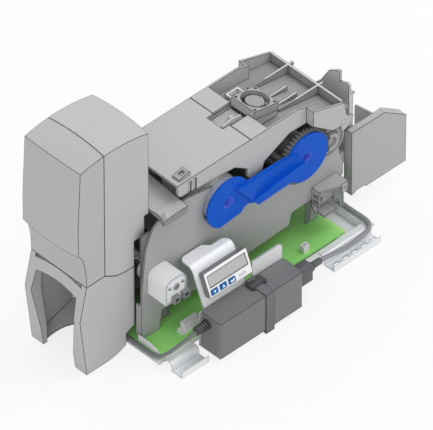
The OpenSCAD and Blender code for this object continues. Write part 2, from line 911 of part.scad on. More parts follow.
module feed_roller() {
  driven_roller(feed_x, rail_y - 20, rail_y + 20);
  color("#b9b9bb") pulley(feed_x, roller_z, first_y);
}
module platen_roller() {
  driven_roller(platen_x, rail_y - card_w / 2 - 2, rail_y + card_w / 2 + 2);
}
module transport_roller() {
  driven_roller(transport_x, rail_y - 20, rail_y + 20);
}
module exit_roller() {
  driven_roller(exit_x, rail_y - 20, rail_y + 20);
}
module pinch_roller(x) {
  color("#d0d0d0") {
    axle(x, pinch_z, pinch_shaft_r, near_in + shaft_gap, far_y + 0.6);
    axle(x, pinch_z, pinch_r, rail_y - 20, rail_y + 20);
  }
}
module front_pinch_roller() {
  pinch_roller(feed_x);
}
module middle_pinch_roller() {
  pinch_roller(transport_x);
}
module rear_pinch_roller() {
  pinch_roller(exit_x);
}
module belt_loop(r, length) {
  circle(r = r, $fn = round_fn);
  translate([length, 0]) circle(r = r, $fn = round_fn);
  translate([0, -r]) square([length, 2 * r]);
}
module belt(x, z, length, tilt, y) {
  translate([x, y + belt_w - 0.4, z]) rotate([90, -tilt, 0]) {
    linear_extrude(height = belt_w - 0.8) difference() {
      belt_loop(pulley_r + belt_gap + belt_t, length);
      belt_loop(pulley_r + belt_gap, length);
    }
  }
}
module motor_belt() {
  rise = roller_z - motor_z;
  reach = feed_x - motor_x;
  color("#262626") {
    belt(motor_x, motor_z, sqrt(rise * rise + reach * reach), atan(rise / reach), first_y);
  }
}
module transport_belt() {
  color("#262626") belt(feed_x, roller_z, exit_x - feed_x, 0, second_y);
}

// Ribbon cartridge: two end discs joined by a raised grip, each with a hub for its spool
disc_t = 2.5;
disc_y = -18;
hole_r = 6.5;
hole_depth = 9;
hub_r = 8;
hub_l = 12;
hub_end = 1;
bridge_t = 6.5;
// Outline shares: along the line from disc to disc, and off that line in disc radii
bridge_shares = [
  [0.081, 0.518], [0.252, 0.46], [0.694, 0.54], [0.859, 0.474], [0.941, 0.028], [0.965, -0.19],
  [0.953, -0.44], [0.847, -0.475], [0.835, -0.535], [0.346, -0.729], [0.305, -0.538], [0.258, -0.314]
];
web_shares = [
  [0.10, -0.76], [0.246, -0.547], [0.34, -0.70], [0.83, -0.50], [0.90, 0.20], [0.80, 0.45],
  [0.26, 0.42], [0.10, 0.60]
];
grip_from_share = [0.282, -0.447];
grip_to_share = [0.941, 0.007];
grip_rise_share = 0.79;
grip_depth = 5.5;
flat_share = 0.864;
flat_tilt = 5;
span_x = takeup_x - supply_x;
span_z = takeup_z - supply_z;
function between(p) = [supply_x + span_x * p[0], supply_z + span_z * p[0] + disc_r * p[1]];
module ribbon_cartridge() {
  front = disc_y + disc_t - bridge_t;
  back = disc_y + disc_t;
  grip_from = between(grip_from_share);
  grip_to = between(grip_to_share);
  grip_run = grip_to - grip_from;
  grip_half = norm(grip_run) / 2;
  color("#0754c4") difference() {
    union() {
      difference() {
        axle(supply_x, supply_z, disc_r, disc_y, back);
        translate([supply_x, 0, supply_z]) rotate([0, -flat_tilt, 0]) {
          box([-disc_r, front, -disc_r - over], [disc_r, back + over, -disc_r * flat_share]);
        }
      }
      axle(takeup_x, takeup_z, disc_r, disc_y, back);
      axle(supply_x, supply_z, hub_r, disc_y + over, hub_end);
      axle(takeup_x, takeup_z, hub_r, disc_y + over, hub_end);
      across(disc_y, back) polygon([for (p = web_shares) between(p)]);
      across(front, back) polygon([for (p = bridge_shares) between(p)]);
    }
    axle(supply_x, supply_z, hole_r, front - over, disc_y + hole_depth);
    axle(takeup_x, takeup_z, hole_r, front - over, disc_y + hole_depth);
    translate([(grip_from[0] + grip_to[0]) / 2, front, (grip_from[1] + grip_to[1]) / 2]) {
      rotate([0, -atan(grip_run[1] / grip_run[0]), 0]) intersection() {
        scale([1, grip_depth / grip_half, grip_rise_share * disc_r / grip_half]) {
          sphere(r = grip_half, $fn = 64);
        }
        box([-span_x, -disc_r, 0], [span_x, disc_r, disc_r]);
      }
    }
  }
}

// Spools: the supply roll, and the take-up core with its gear behind the rear disc
spool_gap = 0.5;
core_r = 11;
spool_l = 60;
takeup_roll_r = 14;
gear_t = 4;
tooth_h = 3.2;
tooth_share = 0.5;
spool_y = disc_y + disc_t + spool_gap;
spool_end = far_in - hub_l + 4;
far_bore_l = 5;
module spool_bore(x, z) {
  axle(x, z, hub_r + run, spool_y - over, hub_end + over);
  axle(x, z, hub_r + run, spool_end - far_bore_l, spool_end + over);
}
module supply_spool() {
  color("#ececec") difference() {
    union() {
      axle(supply_x, supply_z, core_r, spool_y, spool_end);
      axle(supply_x, supply_z, roll_r, near_in + 2, near_in + 2 + spool_l);
    }
    spool_bore(supply_x, supply_z);
  }
}
module spool_gear() {
  root = gear_r - tooth_h;
  linear_extrude(height = gear_t) {
    circle(r = root + 0.1, $fn = round_fn * 2);
    for (i = [0:gear_teeth - 1]) {
      rotate(360 * i / gear_teeth) {
        half = 180 * root / gear_teeth * tooth_share / 57.3;
        polygon([
          [root - 0.5, -half * 1.5],
          [gear_r, -half * 0.6],
          [gear_r, half * 0.6],
          [root - 0.5, half * 1.5]
        ]);
      }
    }
  }
}
module takeup_spool() {
  color("#5d5f60") difference() {
    union() {
      axle(takeup_x, takeup_z, core_r, spool_y, spool_end);
      axle(takeup_x, takeup_z, takeup_roll_r, near_in + 2, near_in + 2 + spool_l);
      translate([takeup_x, spool_y + gear_t, takeup_z]) rotate([90, 0, 0]) spool_gear();
    }
    spool_bore(takeup_x, takeup_z);
  }
}

// Lid: outline shares of its front and rear side walls, from the lowest point to the top
lid_front_l = 179;
lid_side_h = 52;
lid_rear_l = 57;
lid_rear_h = 55;
lid_step = 10;
panel_end_share = 0.564;
patch_share = 0.134;
panel_end = lid_x + lid_front_l * panel_end_share;
patch_l = lid_front_l * patch_share;
near_patch = 19;
far_patch = 45;
pocket_cut = 9;
groove = 0.6;
groove_depth = 0.8;
side_shares = [
  [0.00, 1.00], [0.00, 0.81], [0.008, 0.72], [0.028, 0.673], [0.073, 0.673], [0.145, 0.635],
  [0.257, 0.615], [0.439, 0.546], [0.537, 0.308], [0.531, 0.131], [0.556, 0.004], [0.588, 0.006],
  [0.654, 0.033], [0.669, 0.221], [0.863, 0.533], [1.00, 0.515], [1.00, 0.913], [0.922, 1.00]
];
rear_shares = [
  [0.00, 0.56], [0.477, 0.167], [0.68, 0.145], [0.693, 0.005], [0.74, 0.00], [0.80, 0.01],
  [0.86, 0.045], [0.91, 0.10], [0.953, 0.164], [0.996, 0.224], [0.953, 0.273], [0.856, 0.293],
  [0.812, 0.365], [0.758, 0.664], [0.018, 0.913], [0.00, 0.925]
];
rear_x = lid_x + lid_front_l - 1;
rear_near = near_y - lid_step;
rear_far = far_y + lid_step;
latch_x = -84;
latch_y = -6;
latch_l = 15.5;
latch_w = 10;
latch_h = 5;
latch_travel = 2.5;
stem_l = 4;
stem_w = 4;
module lid_side(y) {
  across(y, y + wall) translate([lid_x, lid_z - lid_side_h]) {
    polygon(scaled(side_shares, lid_front_l, lid_side_h));
  }
}
module lid_rear(y) {
  across(y, y + wall) translate([rear_x, lid_z - lid_rear_h]) {
    polygon(scaled(rear_shares, lid_rear_l, lid_rear_h));
  }
}
module top_cover() {
  color("#bdbdbd") difference() {
    union() {
      lid_side(near_y);
      lid_side(far_y - wall);
      lid_rear(rear_near);
      lid_rear(rear_far - wall);
      box([lid_x, near_y, lid_z - wall], [panel_end, far_y, lid_z]);
      box([panel_end, near_y, lid_z - wall], [panel_end + patch_l, near_patch, lid_z]);
      box([panel_end, far_patch, lid_z - wall], [panel_end + patch_l, far_y, lid_z]);
      for (side = [[rear_near, near_y + wall], [far_y - wall, rear_far]]) {
        across(side[0], side[1]) polygon([
          [rear_x, lid_z - lid_side_h * 0.48],
          [rear_x + wall, lid_z - lid_side_h * 0.48],
          [rear_x + wall, lid_z - lid_side_h * 0.1],
          [rear_x, lid_z - lid_side_h * 0.09]
        ]);
      }
    }
    box([panel_end - groove / 2, near_y - over, lid_z - groove_depth], [panel_end + groove / 2, far_y + over, lid_z + over]);
    box(
      [panel_end - pocket_cut, near_patch + 2, lid_z - wall - over],
      [panel_end + over, far_patch - 1, lid_z + over]
    );
    for (x = [lid_x + 15, lid_x + 22]) {
      box([x, near_y - over, lid_z - lid_side_h], [x + 4, near_y + wall / 2, lid_z - wall - 1]);
    }
    box(
      [latch_x + latch_l / 2 - stem_l / 2 - clear, latch_y + latch_w / 2 - stem_w / 2 - clear, lid_z - wall - over],
      [
        latch_x + latch_l / 2 + stem_l / 2 + latch_travel + clear,
        latch_y + latch_w / 2 + stem_w / 2 + clear,
        lid_z + over
      ]
    );
    axle(hinge_x, hinge_z, hinge_r + run, rear_near - over, rear_far + over);
  }
}

// Tray across the lid's rear, with the ribs that stiffen it
tray_front_z = 172;
tray_mid_z = 168;
tray_back_z = 156;
tray_mid_x = 75;
tray_back_x = 141;
lid_rib_w = 3;
rib_top = 169;
cross_rib_x = 129.5;
rib_places = [17.5, 60.8];
pill_places = [26, 40];
pill_x = 82;
pill_l = 26;
module tray_profile(x0, x1) {
  intersection() {
    polygon([
      [panel_end, tray_front_z],
      [tray_mid_x, tray_mid_z],
      [tray_back_x, tray_back_z],
      [tray_back_x, tray_back_z - wall],
      [tray_mid_x, tray_mid_z - wall],
      [panel_end, tray_front_z - wall]
    ]);
    translate([x0, 0]) square([x1 - x0, lid_z]);
  }
}
module head_tray() {
  color("#888888") {
    across(near_y + wall + clear, far_y - wall - clear) tray_profile(panel_end, rear_x + wall + clear);
    across(rear_near + wall + clear, rear_far - wall - clear) {
      tray_profile(rear_x + wall + clear, tray_back_x);
    }
    across(rear_near + wall + clear, rear_far - wall - clear) {
      translate([cross_rib_x, tray_back_z]) square([lid_rib_w, rib_top - tray_back_z]);
    }
    for (y = rib_places) {
      across(y - lid_rib_w / 2, y + lid_rib_w / 2) polygon([
        [tray_mid_x, tray_mid_z - wall / 2],
        [tray_mid_x, rib_top + 1.5],
        [tray_mid_x + 24, rib_top],
        [cross_rib_x + lid_rib_w + 5, rib_top],
        [cross_rib_x + lid_rib_w + 5, rib_top - 3],
        [cross_rib_x + lid_rib_w, tray_back_z],
        [tray_back_x - 20, tray_back_z + 2]
      ]);
    }
    for (y = pill_places) {
      hull() {
        for (x = [pill_x, pill_x + pill_l]) {
          translate([x, y, tray_back_z]) cylinder(r = lid_rib_w / 2, h = rib_top - 2 - tray_back_z, $fn = 24);
        }
      }
    }
  }
}

// Print head below the tray, with its tip over the platen roller
tip_gap = 1.2;
head_stem = 2.3;
head_stem_l = 8;
head_drop = 1.1;
head_near = rail_y - card_w / 2 - 1;
head_far = rail_y + card_w / 2 + 1;
head_profile = [
  [-3, 0], [3, 0], [7, 6], [9, 30], [13, 42], [13, 60], [-11, 60], [-11, 42], [-7, 30], [-5.5, 6]
];
module print_head() {
  tip_z = path_z + tip_gap;
  head_top = tray_front_z - wall - head_stem - head_drop;
  top_share = (head_top - tip_z) / 60;
  color("#6a6a6c") across(head_near, head_far) polygon([
    for (p = head_profile) [platen_x + p[0], tip_z + p[1] * top_share]
  ]);
  color("#6a6a6c") across(head_near + 6, head_far - 6) {
    translate([platen_x - head_stem_l / 2, head_top]) square([head_stem_l, head_stem]);
  }
}

// Heat sink under the fan, its fins cut to the fan's slope
fan_x = 53;
fan_y = 28.6;
fan_z = 185;
fan_s = 34;
fan_h = 10;
fan_tilt = 11;
fin_t = 1.2;
fin_gap = 2.2;
fin_count = 10;
sink_l = 33;
fan_bore = 14.6;
hub_fan_r = 5.5;
blade_count = 7;
blade_r = 13.8;
blade_t = 1;
fan_pin_r = 1.2;
module on_fan() {
  translate([fan_x, fan_y, fan_z]) rotate([0, fan_tilt, 0]) children();
}
module heat_sink() {
  low = tray_mid_z + 2.5;
  under = fan_z - fan_h / 2 / cos(fan_tilt) - clear;
  drop = sink_l / 2 * tan(fan_tilt);
  color("#c2c3c5") {
    box([fan_x - sink_l / 2, fan_y - sink_l / 2, low], [fan_x + sink_l / 2, fan_y + sink_l / 2, low + 2]);
    for (i = [0:fin_count - 1]) {
      y = fan_y - sink_l / 2 + i * (fin_t + fin_gap);
      across(y, y + fin_t) polygon([
        [fan_x - sink_l / 2, low],
        [fan_x + sink_l / 2, low],
        [fan_x + sink_l / 2, under - drop],
        [fan_x - sink_l / 2, under + drop]
      ]);
    }
  }
}
module fan_frame() {
  hole = fan_s / 2 - 3.2;
  color("#8e8e8e") on_fan() {
    difference() {
      union() {
        box([-fan_s / 2, -fan_s / 2, -fan_h / 2], [fan_s / 2, fan_s / 2, fan_h / 2]);
      }
      translate([0, 0, -fan_h]) cylinder(r = fan_bore, h = 2 * fan_h, $fn = round_fn);
      for (x = [-hole, hole]) {
        for (y = [-hole, hole]) {
          translate([x, y, -fan_h]) cylinder(r = 1.4, h = 2 * fan_h, $fn = 24);
        }
      }
    }
    translate([0, 0, -fan_h / 2]) {
      difference() {
        union() {
          cylinder(r = hub_fan_r, h = 1.5, $fn = 48);
          for (a = [0:120:240]) {
            rotate(a) translate([0, -1, 0]) cube([fan_bore + 0.4, 2, 1.5]);
          }
        }
      }
      cylinder(r = fan_pin_r, h = fan_h - 2, $fn = 36);
    }
  }
}
module fan_rotor() {
  color("#b4b4b4") on_fan() {
    difference() {
      translate([0, 0, -fan_h / 2 + 2]) cylinder(r = hub_fan_r, h = fan_h - 2.6, $fn = 48);
      translate([0, 0, -fan_h]) cylinder(r = fan_pin_r + run, h = 2 * fan_h - 2.2, $fn = 36);
    }
    for (i = [0:blade_count - 1]) {
      rotate(360 * i / blade_count) intersection() {
        translate([hub_fan_r - 0.5, 0, 0]) rotate([35, 0, 0]) {
          box([0, -4, -blade_t / 2], [blade_r, 4, blade_t / 2]);
        }
        translate([0, 0, -fan_h / 2 + 2]) cylinder(r = blade_r, h = fan_h - 3, $fn = round_fn);
      }
    }
  }
}
module head_connector() {
  base = tray_mid_z + 2;
  x = 44;
  y = 50;
  color("#c9c9c9") difference() {
    box([x, y, base], [x + 18, y + 12, base + 11]);
    box([x + 3, y + 3, base + 7], [x + 15, y + 9, base + 11 + over]);
    box([x - over, y + 3, base + 4], [x + 4, y + 9, base + 8]);
  }
}

// Sliding latch on the lid's front corner, its stem through the lid
module lid_latch() {
  z = lid_z + 0.2;
  color("#a6a6a6") {
    difference() {
      translate([0, latch_y + latch_w, z]) rotate([90, 0, 0]) linear_extrude(height = latch_w) {
        polygon([
          [latch_x, 0],
          [latch_x + latch_l, 0],
          [latch_x + latch_l, latch_h * 0.8],
          [latch_x + latch_l * 0.85, latch_h],
          [latch_x + latch_l * 0.2, latch_h * 0.45],
          [latch_x, latch_h * 0.4]
        ]);
      }
      box(
        [latch_x + latch_l * 0.35, latch_y + 3, z + latch_h * 0.45],
        [latch_x + latch_l * 0.7, latch_y + latch_w - 3, z + latch_h]
      );
    }
    box(
      [latch_x + latch_l / 2 - stem_l / 2, latch_y + latch_w / 2 - stem_w / 2, lid_z - wall - 4],
      [latch_x + latch_l / 2 + stem_l / 2, latch_y + latch_w / 2 + stem_w / 2, z + 1]
    );
  }
}
module hinge_pins() {
  color("#d0d0d0") {
    axle(hinge_x, hinge_z, hinge_r, rear_near, near_in);
    axle(hinge_x, hinge_z, hinge_r, far_in, rear_far);
  }
}

// Ringed bearing cap at the near plate's rear, cut back round the take-up gear
cap_x = 118;
cap_z = 121;
cap_r = 20;
cap_t = 6;
module bearing_cap() {
  color("#8a8a8a") difference() {
    translate([cap_x, near_y, cap_z]) rotate([90, 0, 0]) rotate_extrude($fn = 96) polygon([
      [0, 0],
      [cap_r, 0],
      [cap_r, cap_t * 0.5],
      [cap_r * 0.86, cap_t * 0.6],
      [cap_r * 0.82, cap_t * 0.4],
      [cap_r * 0.6, cap_t * 0.4],
      [cap_r * 0.56, cap_t],
      [cap_r * 0.3, cap_t],
      [cap_r * 0.26, cap_t * 0.6],
      [0, cap_t * 0.6]
    ]);
    axle(takeup_x, takeup_z, gear_r + 1, near_y - 2 * cap_t, near_y - clear);
  }
}

// Rear post: the upright behind the lid, on two arms from the rear beam
post_x = 158;
post_t = 3;
post_near = 1;
post_far = 48;
post_low = 56;
post_top = 172;
arm_t = 3;
post_shares = [
  [0.00, 0.00], [1.00, 0.00], [1.00, 0.70], [0.89, 0.74], [0.66, 0.90], [0.62, 0.93],
  [0.34, 1.00], [0.28, 0.995], [0.28, 0.885], [0.06, 0.92], [0.00, 0.90]
];
rib_z = 146;
rib_out = 5;
rib_share = 0.7;
catch_y = 15;
catch_h = 18;
module rear_post() {
  w = post_far - post_near;
  h = post_top - post_low;
  back = post_x + post_t;
  color("#8f8f8f") {
    translate([post_x, post_near, post_low]) rotate([90, 0, 90]) linear_extrude(height = post_t) {
      polygon(scaled(post_shares, w, h));
    }
    for (y = [post_near, post_far - arm_t]) {
      box([beam_x + beam_l, y, beam_z], [post_x, y + arm_t, beam_z + beam_h]);
    }
    box([back, post_near, rib_z], [back + rib_out, post_near + w * rib_share, rib_z + post_t]);
    box([back, catch_y, rib_z - catch_h], [back + rib_out, catch_y + rib_out, rib_z]);
    box([back, post_near, post_low], [back + post_t, post_near + post_t, rib_z]);
  }
}

// Rear cover: the near rear corner of the outer casing, open to the inside
cover_low = 24;
cover_deep = 11;
cover_slope_share = 0.6;
cover_bevel = 6;
stub_x = 190;
stub_far = 25;
function cover_outline(inset) =
  let (h = cover_z - cover_low)
  [
    [cover_x + inset, cover_low + inset],
    [cover_x + cover_l * 0.05, cover_low + inset],
    [cover_x + cover_l * 0.10, cover_low + inset + h * 0.03],
    [cover_x + cover_l * 0.25, cover_low + inset + h * 0.03],
    [cover_x + cover_l * 0.27, cover_low + inset],
    [cover_x + cover_l - inset, cover_low + inset],
    [cover_x + cover_l - inset, cover_z - h * 0.26],
    [cover_x + cover_l * cover_slope_share, cover_z - inset],
    [cover_x + inset, cover_z - inset]
  ];
lug_gap = 0.1;
module rear_cover() {
  edge = near_y + cover_deep;
  color("#ababab") {
    difference() {
      across(near_y, edge) polygon(cover_outline(0));
      across(near_y + wall, edge + over) polygon(cover_outline(wall));
      translate([cover_x - over, edge, cover_z - cover_bevel * 0.6]) {
        rotate([45, 0, 0]) cube([cover_l + 2 * over, cover_bevel, cover_bevel]);
      }
    }
    translate([stub_x, 0, 0]) rotate([90, 0, 90]) linear_extrude(height = wall) polygon([
      [near_y + wall, cover_low + wall],
      [stub_far, cover_low + 20],
      [stub_far, cover_z - 8],
      [near_y + wall, cover_z - wall]
    ]);
    box([cover_x + wall, near_y + wall, 62], [post_x, post_near - lug_gap, 80]);
  }
}

// Bracket below the rear spool, with two slots, a blade and a small tray
bracket_x = 96;
bracket_l = 34;
bracket_z = 34;
bracket_h = 36;
bracket_w = 18;
bracket_t = 2;
flap_pin_r = 1.5;
flap_pin_z = bracket_z + bracket_h - 6;
flap_x = bracket_x + bracket_l - 5;
flap_h = 28;
module rear_bracket() {
  near = near_y - bracket_w;
  top = bracket_z + bracket_h;
  color("#8f8f8f") difference() {
    union() {
      box([bracket_x, near_y - bracket_t, bracket_z + 8], [bracket_x + bracket_l, near_y, top]);
      translate([0, 0, top - bracket_t]) linear_extrude(height = bracket_t) polygon([
        [bracket_x, near_y],
        [bracket_x + bracket_l, near_y],
        [bracket_x + bracket_l, near],
        [bracket_x + bracket_l * 0.55, near],
        [bracket_x, near + bracket_w * 0.4]
      ]);
      box([bracket_x, near + bracket_w * 0.4, top - 20], [bracket_x + bracket_t, near_y, top]);
      translate([0, 0, bracket_z + 14]) linear_extrude(height = bracket_t) polygon([
        [bracket_x - 9, near + bracket_w * 0.2],
        [bracket_x + bracket_l * 0.5, near_y],
        [bracket_x - 2, near_y]
      ]);
      box([bracket_x + 2, near + 2, bracket_z + 4], [bracket_x + bracket_l * 0.6, near_y, bracket_z + 4 + bracket_t]);
      box([bracket_x + 2, near_y - bracket_t, bracket_z + 4], [bracket_x + bracket_l * 0.6, near_y, bracket_z + 12]);
      box([flap_x - 4, near, top - 12], [flap_x + 4, near + bracket_t, top]);
      box([flap_x - 4, near_y - bracket_t, top - 12], [flap_x + 4, near_y, top]);
    }
    for (z = [top - 17, top - 10]) {
      box([bracket_x - over, near + bracket_w * 0.5, z], [bracket_x + bracket_t + over, near_y - 3, z + 3]);
    }
    axle(flap_x, flap_pin_z, flap_pin_r + run, near - over, near_y + over);
  }
}
module reject_flap() {
  near = near_y - bracket_w;
  color("#b0b0b0") {
    axle(flap_x, flap_pin_z, flap_pin_r, near, near_y - clear);
    difference() {
      box(
        [flap_x - 1, near + bracket_t + clear, flap_pin_z - flap_h],
        [flap_x + 1, near_y - bracket_t - clear, flap_pin_z]
      );
      box([flap_x - 2, near + 7, flap_pin_z - flap_h - over], [flap_x + 2, near_y - 7, flap_pin_z - flap_h + 5]);
    }
  }
}

// Mains inlet on the pan's rim at the rear
inlet_y = 20;
inlet_l = 24;
inlet_w = 8.6;
inlet_h = 20;
inlet_x = pan_l / 2 - inlet_w;
module mains_inlet() {
  color("#4b4b4d") difference() {
    box([inlet_x, inlet_y, pan_h], [inlet_x + inlet_w, inlet_y + inlet_l, pan_h + inlet_h]);
    box(
      [inlet_x + inlet_w - 5, inlet_y + 3, pan_h + 3],
      [inlet_x + inlet_w + over, inlet_y + inlet_l - 3, pan_h + inlet_h - 3]
    );
  }
}

// Power supply with its strap, buckle and both plugs
brick_x = -97;
brick_y = -79.5;
brick_z = 5;
brick_r = 3;
strap_x = -35;
strap_w = 11.3;
strap_t = 1.1;
strap_low = 0.4;
buckle_l = 20;
buckle_w = 14;
buckle_h = 3;
plug_y = -65;
plug_z = 33;
plug_l = 32;
plug_w = 16;
plug_h = 21;
relief_x = -97;
relief_y = -60;
relief_z = 40;
relief_l = 16;
relief_r = 5.4;
module power_supply() {
  color("#77797b") translate([brick_x, brick_y, brick_z]) {
    linear_extrude(height = brick_h) union() {
      translate([brick_r, 0]) square([brick_l - 2 * brick_r, brick_w]);
      translate([0, brick_r]) square([brick_l, brick_w - 2 * brick_r]);
      for (x = [brick_r, brick_l - brick_r]) {
        for (y = [brick_r, brick_w - brick_r]) translate([x, y]) circle(r = brick_r, $fn = 48);
      }
    }
  }
}
module supply_strap() {
  near = brick_y - strap_t;
  far = brick_y + brick_w + strap_t;
  top = brick_z + brick_h + strap_t;
  color("#6e6f71") difference() {
    box([strap_x, near, strap_low], [strap_x + strap_w, far, top]);
    box(
      [strap_x - over, near + strap_t, strap_low + strap_t],
      [strap_x + strap_w + over, far - strap_t, top - strap_t]
    );
  }
}
module strap_buckle() {
  x = strap_x + strap_w / 2 - buckle_l / 2;
  y = brick_y + brick_w - buckle_w - 2;
  z = brick_z + brick_h + strap_t;
  color("#343436") difference() {
    box([x, y, z], [x + buckle_l, y + buckle_w, z + buckle_h]);
    for (i = [0:1]) {
      box([x + 3, y + 2.5 + 5.5 * i, z - over], [x + buckle_l - 3, y + 6 + 5.5 * i, z + buckle_h + over]);
    }
  }
}
module mains_plug() {
  x = brick_x + brick_l;
  color("#5b5c60") {
    translate([x, plug_y, plug_z]) rotate([90, 0, 90]) linear_extrude(height = plug_l * 0.62) polygon([
      [-plug_w / 2, -plug_h / 2],
      [plug_w / 2, -plug_h / 2],
      [plug_w / 2, plug_h / 2 - 4],
      [plug_w / 2 - 4, plug_h / 2],
      [-plug_w / 2 + 4, plug_h / 2],
      [-plug_w / 2, plug_h / 2 - 4]
    ]);
    translate([x + plug_l * 0.62, plug_y, plug_z]) rotate([0, 90, 0]) {
      cylinder(r1 = plug_w / 2, r2 = 4.5, h = plug_l * 0.38, $fn = 48);
    }
    translate([x + plug_l, plug_y, plug_z]) rotate([0, 90, 0]) cylinder(r = 4, h = 6, $fn = 48);
  }
}
module strain_relief() {
  color("#5a5b5e") translate([relief_x, relief_y, relief_z]) rotate([0, -90, 0]) {
    cylinder(r = relief_r - 1, h = relief_l, $fn = 48);
    for (i = [0:4]) {
      translate([0, 0, relief_l * i / 5]) cylinder(r = relief_r - i * 0.15, h = relief_l / 5 - 1.2, $fn = 48);
    }
  }
}

// Leads: tubes swept along routes chosen by hand
mains_r = 2.5;
power_r = 2;
lead_sides = 8;
mains_route = [
  [55, -65, 33], [62, -64.5, 31.9], [72, -63, 28.6], [86, -60.5, 23.5], [102, -58, 19], [118, -55.5, 16.8],
  [128.8, -53.8, 15.8], [136, -51.3, 15.2], [141.3, -46.9, 14.6], [144.8, -40.8, 13.9], [146, -34, 13.3],
  [146, -20, 12.8], [146, -8, 12.8], [146, 4, 13.4], [146, 12, 14.2], [146, 20, 15]
];
power_route = [
  [-113, -60, 40], [-116, -59.5, 38.5], [-120, -58, 35], [-127, -54, 28.5], [-134, -50, 22.5],
  [-140, -46, 17.5], [-144.5, -41, 14], [-146.4, -34, 12.5], [-147, -26, 12.2], [-147, -14, 12.2],
  [-147, -2, 12.2], [-146.5, 8, 12.6], [-145.2, 16, 14.3], [-142, 22, 15.6], [-139.6, 26, 16.2],
  [-139, 30, 16.5]
];
function unit(v) = v / norm(v);
function along(route, i) =
  unit(route[min(i + 1, len(route) - 1)] - route[max(i - 1, 0)]);
function ring(route, i, r) =
  let (
    t = i == 0 || i == len(route) - 1 ? end_way(route, i) : along(route, i),
    side = unit(cross(t, [0, 0, 1])),
    up = cross(side, t)
  )
  [
    for (k = [0:lead_sides - 1])
      let (a = 360 * k / lead_sides)
      route[i] + r * (cos(a) * side + sin(a) * up)
  ];
function end_way(route, i) =
  let (way = i == 0 ? route[1] - route[0] : route[i] - route[i - 1])
  abs(way[0]) > abs(way[1]) ? [sign(way[0]), 0, 0] : [0, sign(way[1]), 0];
module lead(route, r) {
  n = len(route);
  m = lead_sides;
  points = [for (i = [0:n - 1]) each ring(route, i, r)];
  sides = [
    for (i = [0:n - 2])
      for (k = [0:m - 1])
        each [
          [i * m + k, i * m + (k + 1) % m, (i + 1) * m + (k + 1) % m],
          [i * m + k, (i + 1) * m + (k + 1) % m, (i + 1) * m + k]
        ]
  ];
  polyhedron(
    points = points,
    faces = concat(sides, [[for (k = [m - 1:-1:0]) k]], [[for (k = [0:m - 1]) (n - 1) * m + k]])
  );
}
module mains_lead() {
  color("#8a8c8f") lead(mains_route, mains_r);
}
module power_lead() {
  color("#707275") lead(power_route, power_r);
}

// Display: a bent sheet bracket, the housing with its window and three buttons
bracket_front = brick_y + brick_w + strap_t + 0.5;
bend_z = 48;
side_top = 71;
shelf_z = 92;
shelf_back = -11;
arm_l = 64;
bracket_sheet = 1.4;
shelf_top = brick_z - 0.1;
corner_r = 6;
panel_t = 7.5;
panel_x0 = -85;
panel_z = 60.7;
window_l = 52;
window_h = 13;
window_u = 3.6;
window_v = 10.5;
window_t = 1;
button_l = 8.3;
button_w = 5;
button_u = 7.4;
button_pitch = 12;
button_v = 5;
button_t = 2.2;
button_proud = 1;
button_gap = 0.25;
button_pocket = 3.6;
module display_bracket() {
  back = bracket_front + bracket_sheet;
  tilt_run = (shelf_z - bend_z) * tan(panel_tilt);
  sheet_run = bracket_sheet / cos(panel_tilt);
  right = brick_x + brick_l;
  color("#dcdee0") difference() {
    union() {
      box([brick_x, bracket_front, shelf_top - bracket_sheet], [right, back, bend_z]);
      box([brick_x, brick_y + 1, shelf_top - bracket_sheet], [right, back, shelf_top]);
      box([brick_x + 4, back, pan_h], [right - 4, pan_near - rim_w + 4, pan_h + bracket_sheet]);
      box([brick_x + 4, back - bracket_sheet, pan_h], [right - 4, back, pan_h + bracket_sheet]);
      box([panel_x0 + panel_l + 1, bracket_front, bend_z], [right - corner_r, back, side_top]);
      box([panel_x0 + panel_l + 1, bracket_front, bend_z], [right, back, side_top - corner_r]);
      axle(right - corner_r, side_top - corner_r, corner_r, bracket_front, back);
      translate([brick_x + 6, 0, 0]) rotate([90, 0, 90]) linear_extrude(height = arm_l - 6) polygon([
        [bracket_front, bend_z],
        [bracket_front + sheet_run, bend_z],
        [bracket_front + sheet_run + tilt_run, shelf_z],
        [bracket_front + tilt_run, shelf_z]
      ]);
      box(
        [brick_x + 6 + 8, bracket_front + tilt_run, shelf_z - bracket_sheet],
        [brick_x + 38, shelf_back - 1, shelf_z]
      );
      box(
        [brick_x + 30, bracket_front + tilt_run, shelf_z - bracket_sheet],
        [brick_x + arm_l, shelf_back - 8, shelf_z]
      );
      translate([0, 0, shelf_z - bracket_sheet]) {
        translate([brick_x + 6 + 8, shelf_back - 9, 0]) cylinder(r = 8, h = bracket_sheet, $fn = 64);
        translate([brick_x + 6 + 8, bracket_front + tilt_run + 6, 0]) cylinder(r = 6, h = bracket_sheet, $fn = 64);
        translate([brick_x + 33, shelf_back - 9, 0]) cylinder(r = 8, h = bracket_sheet, $fn = 64);
      }
    }
    box(
      [strap_x - clear, bracket_front - strap_t - 1, 0],
      [strap_x + strap_w + clear, bracket_front - 0.2, shelf_top + over]
    );
  }
}
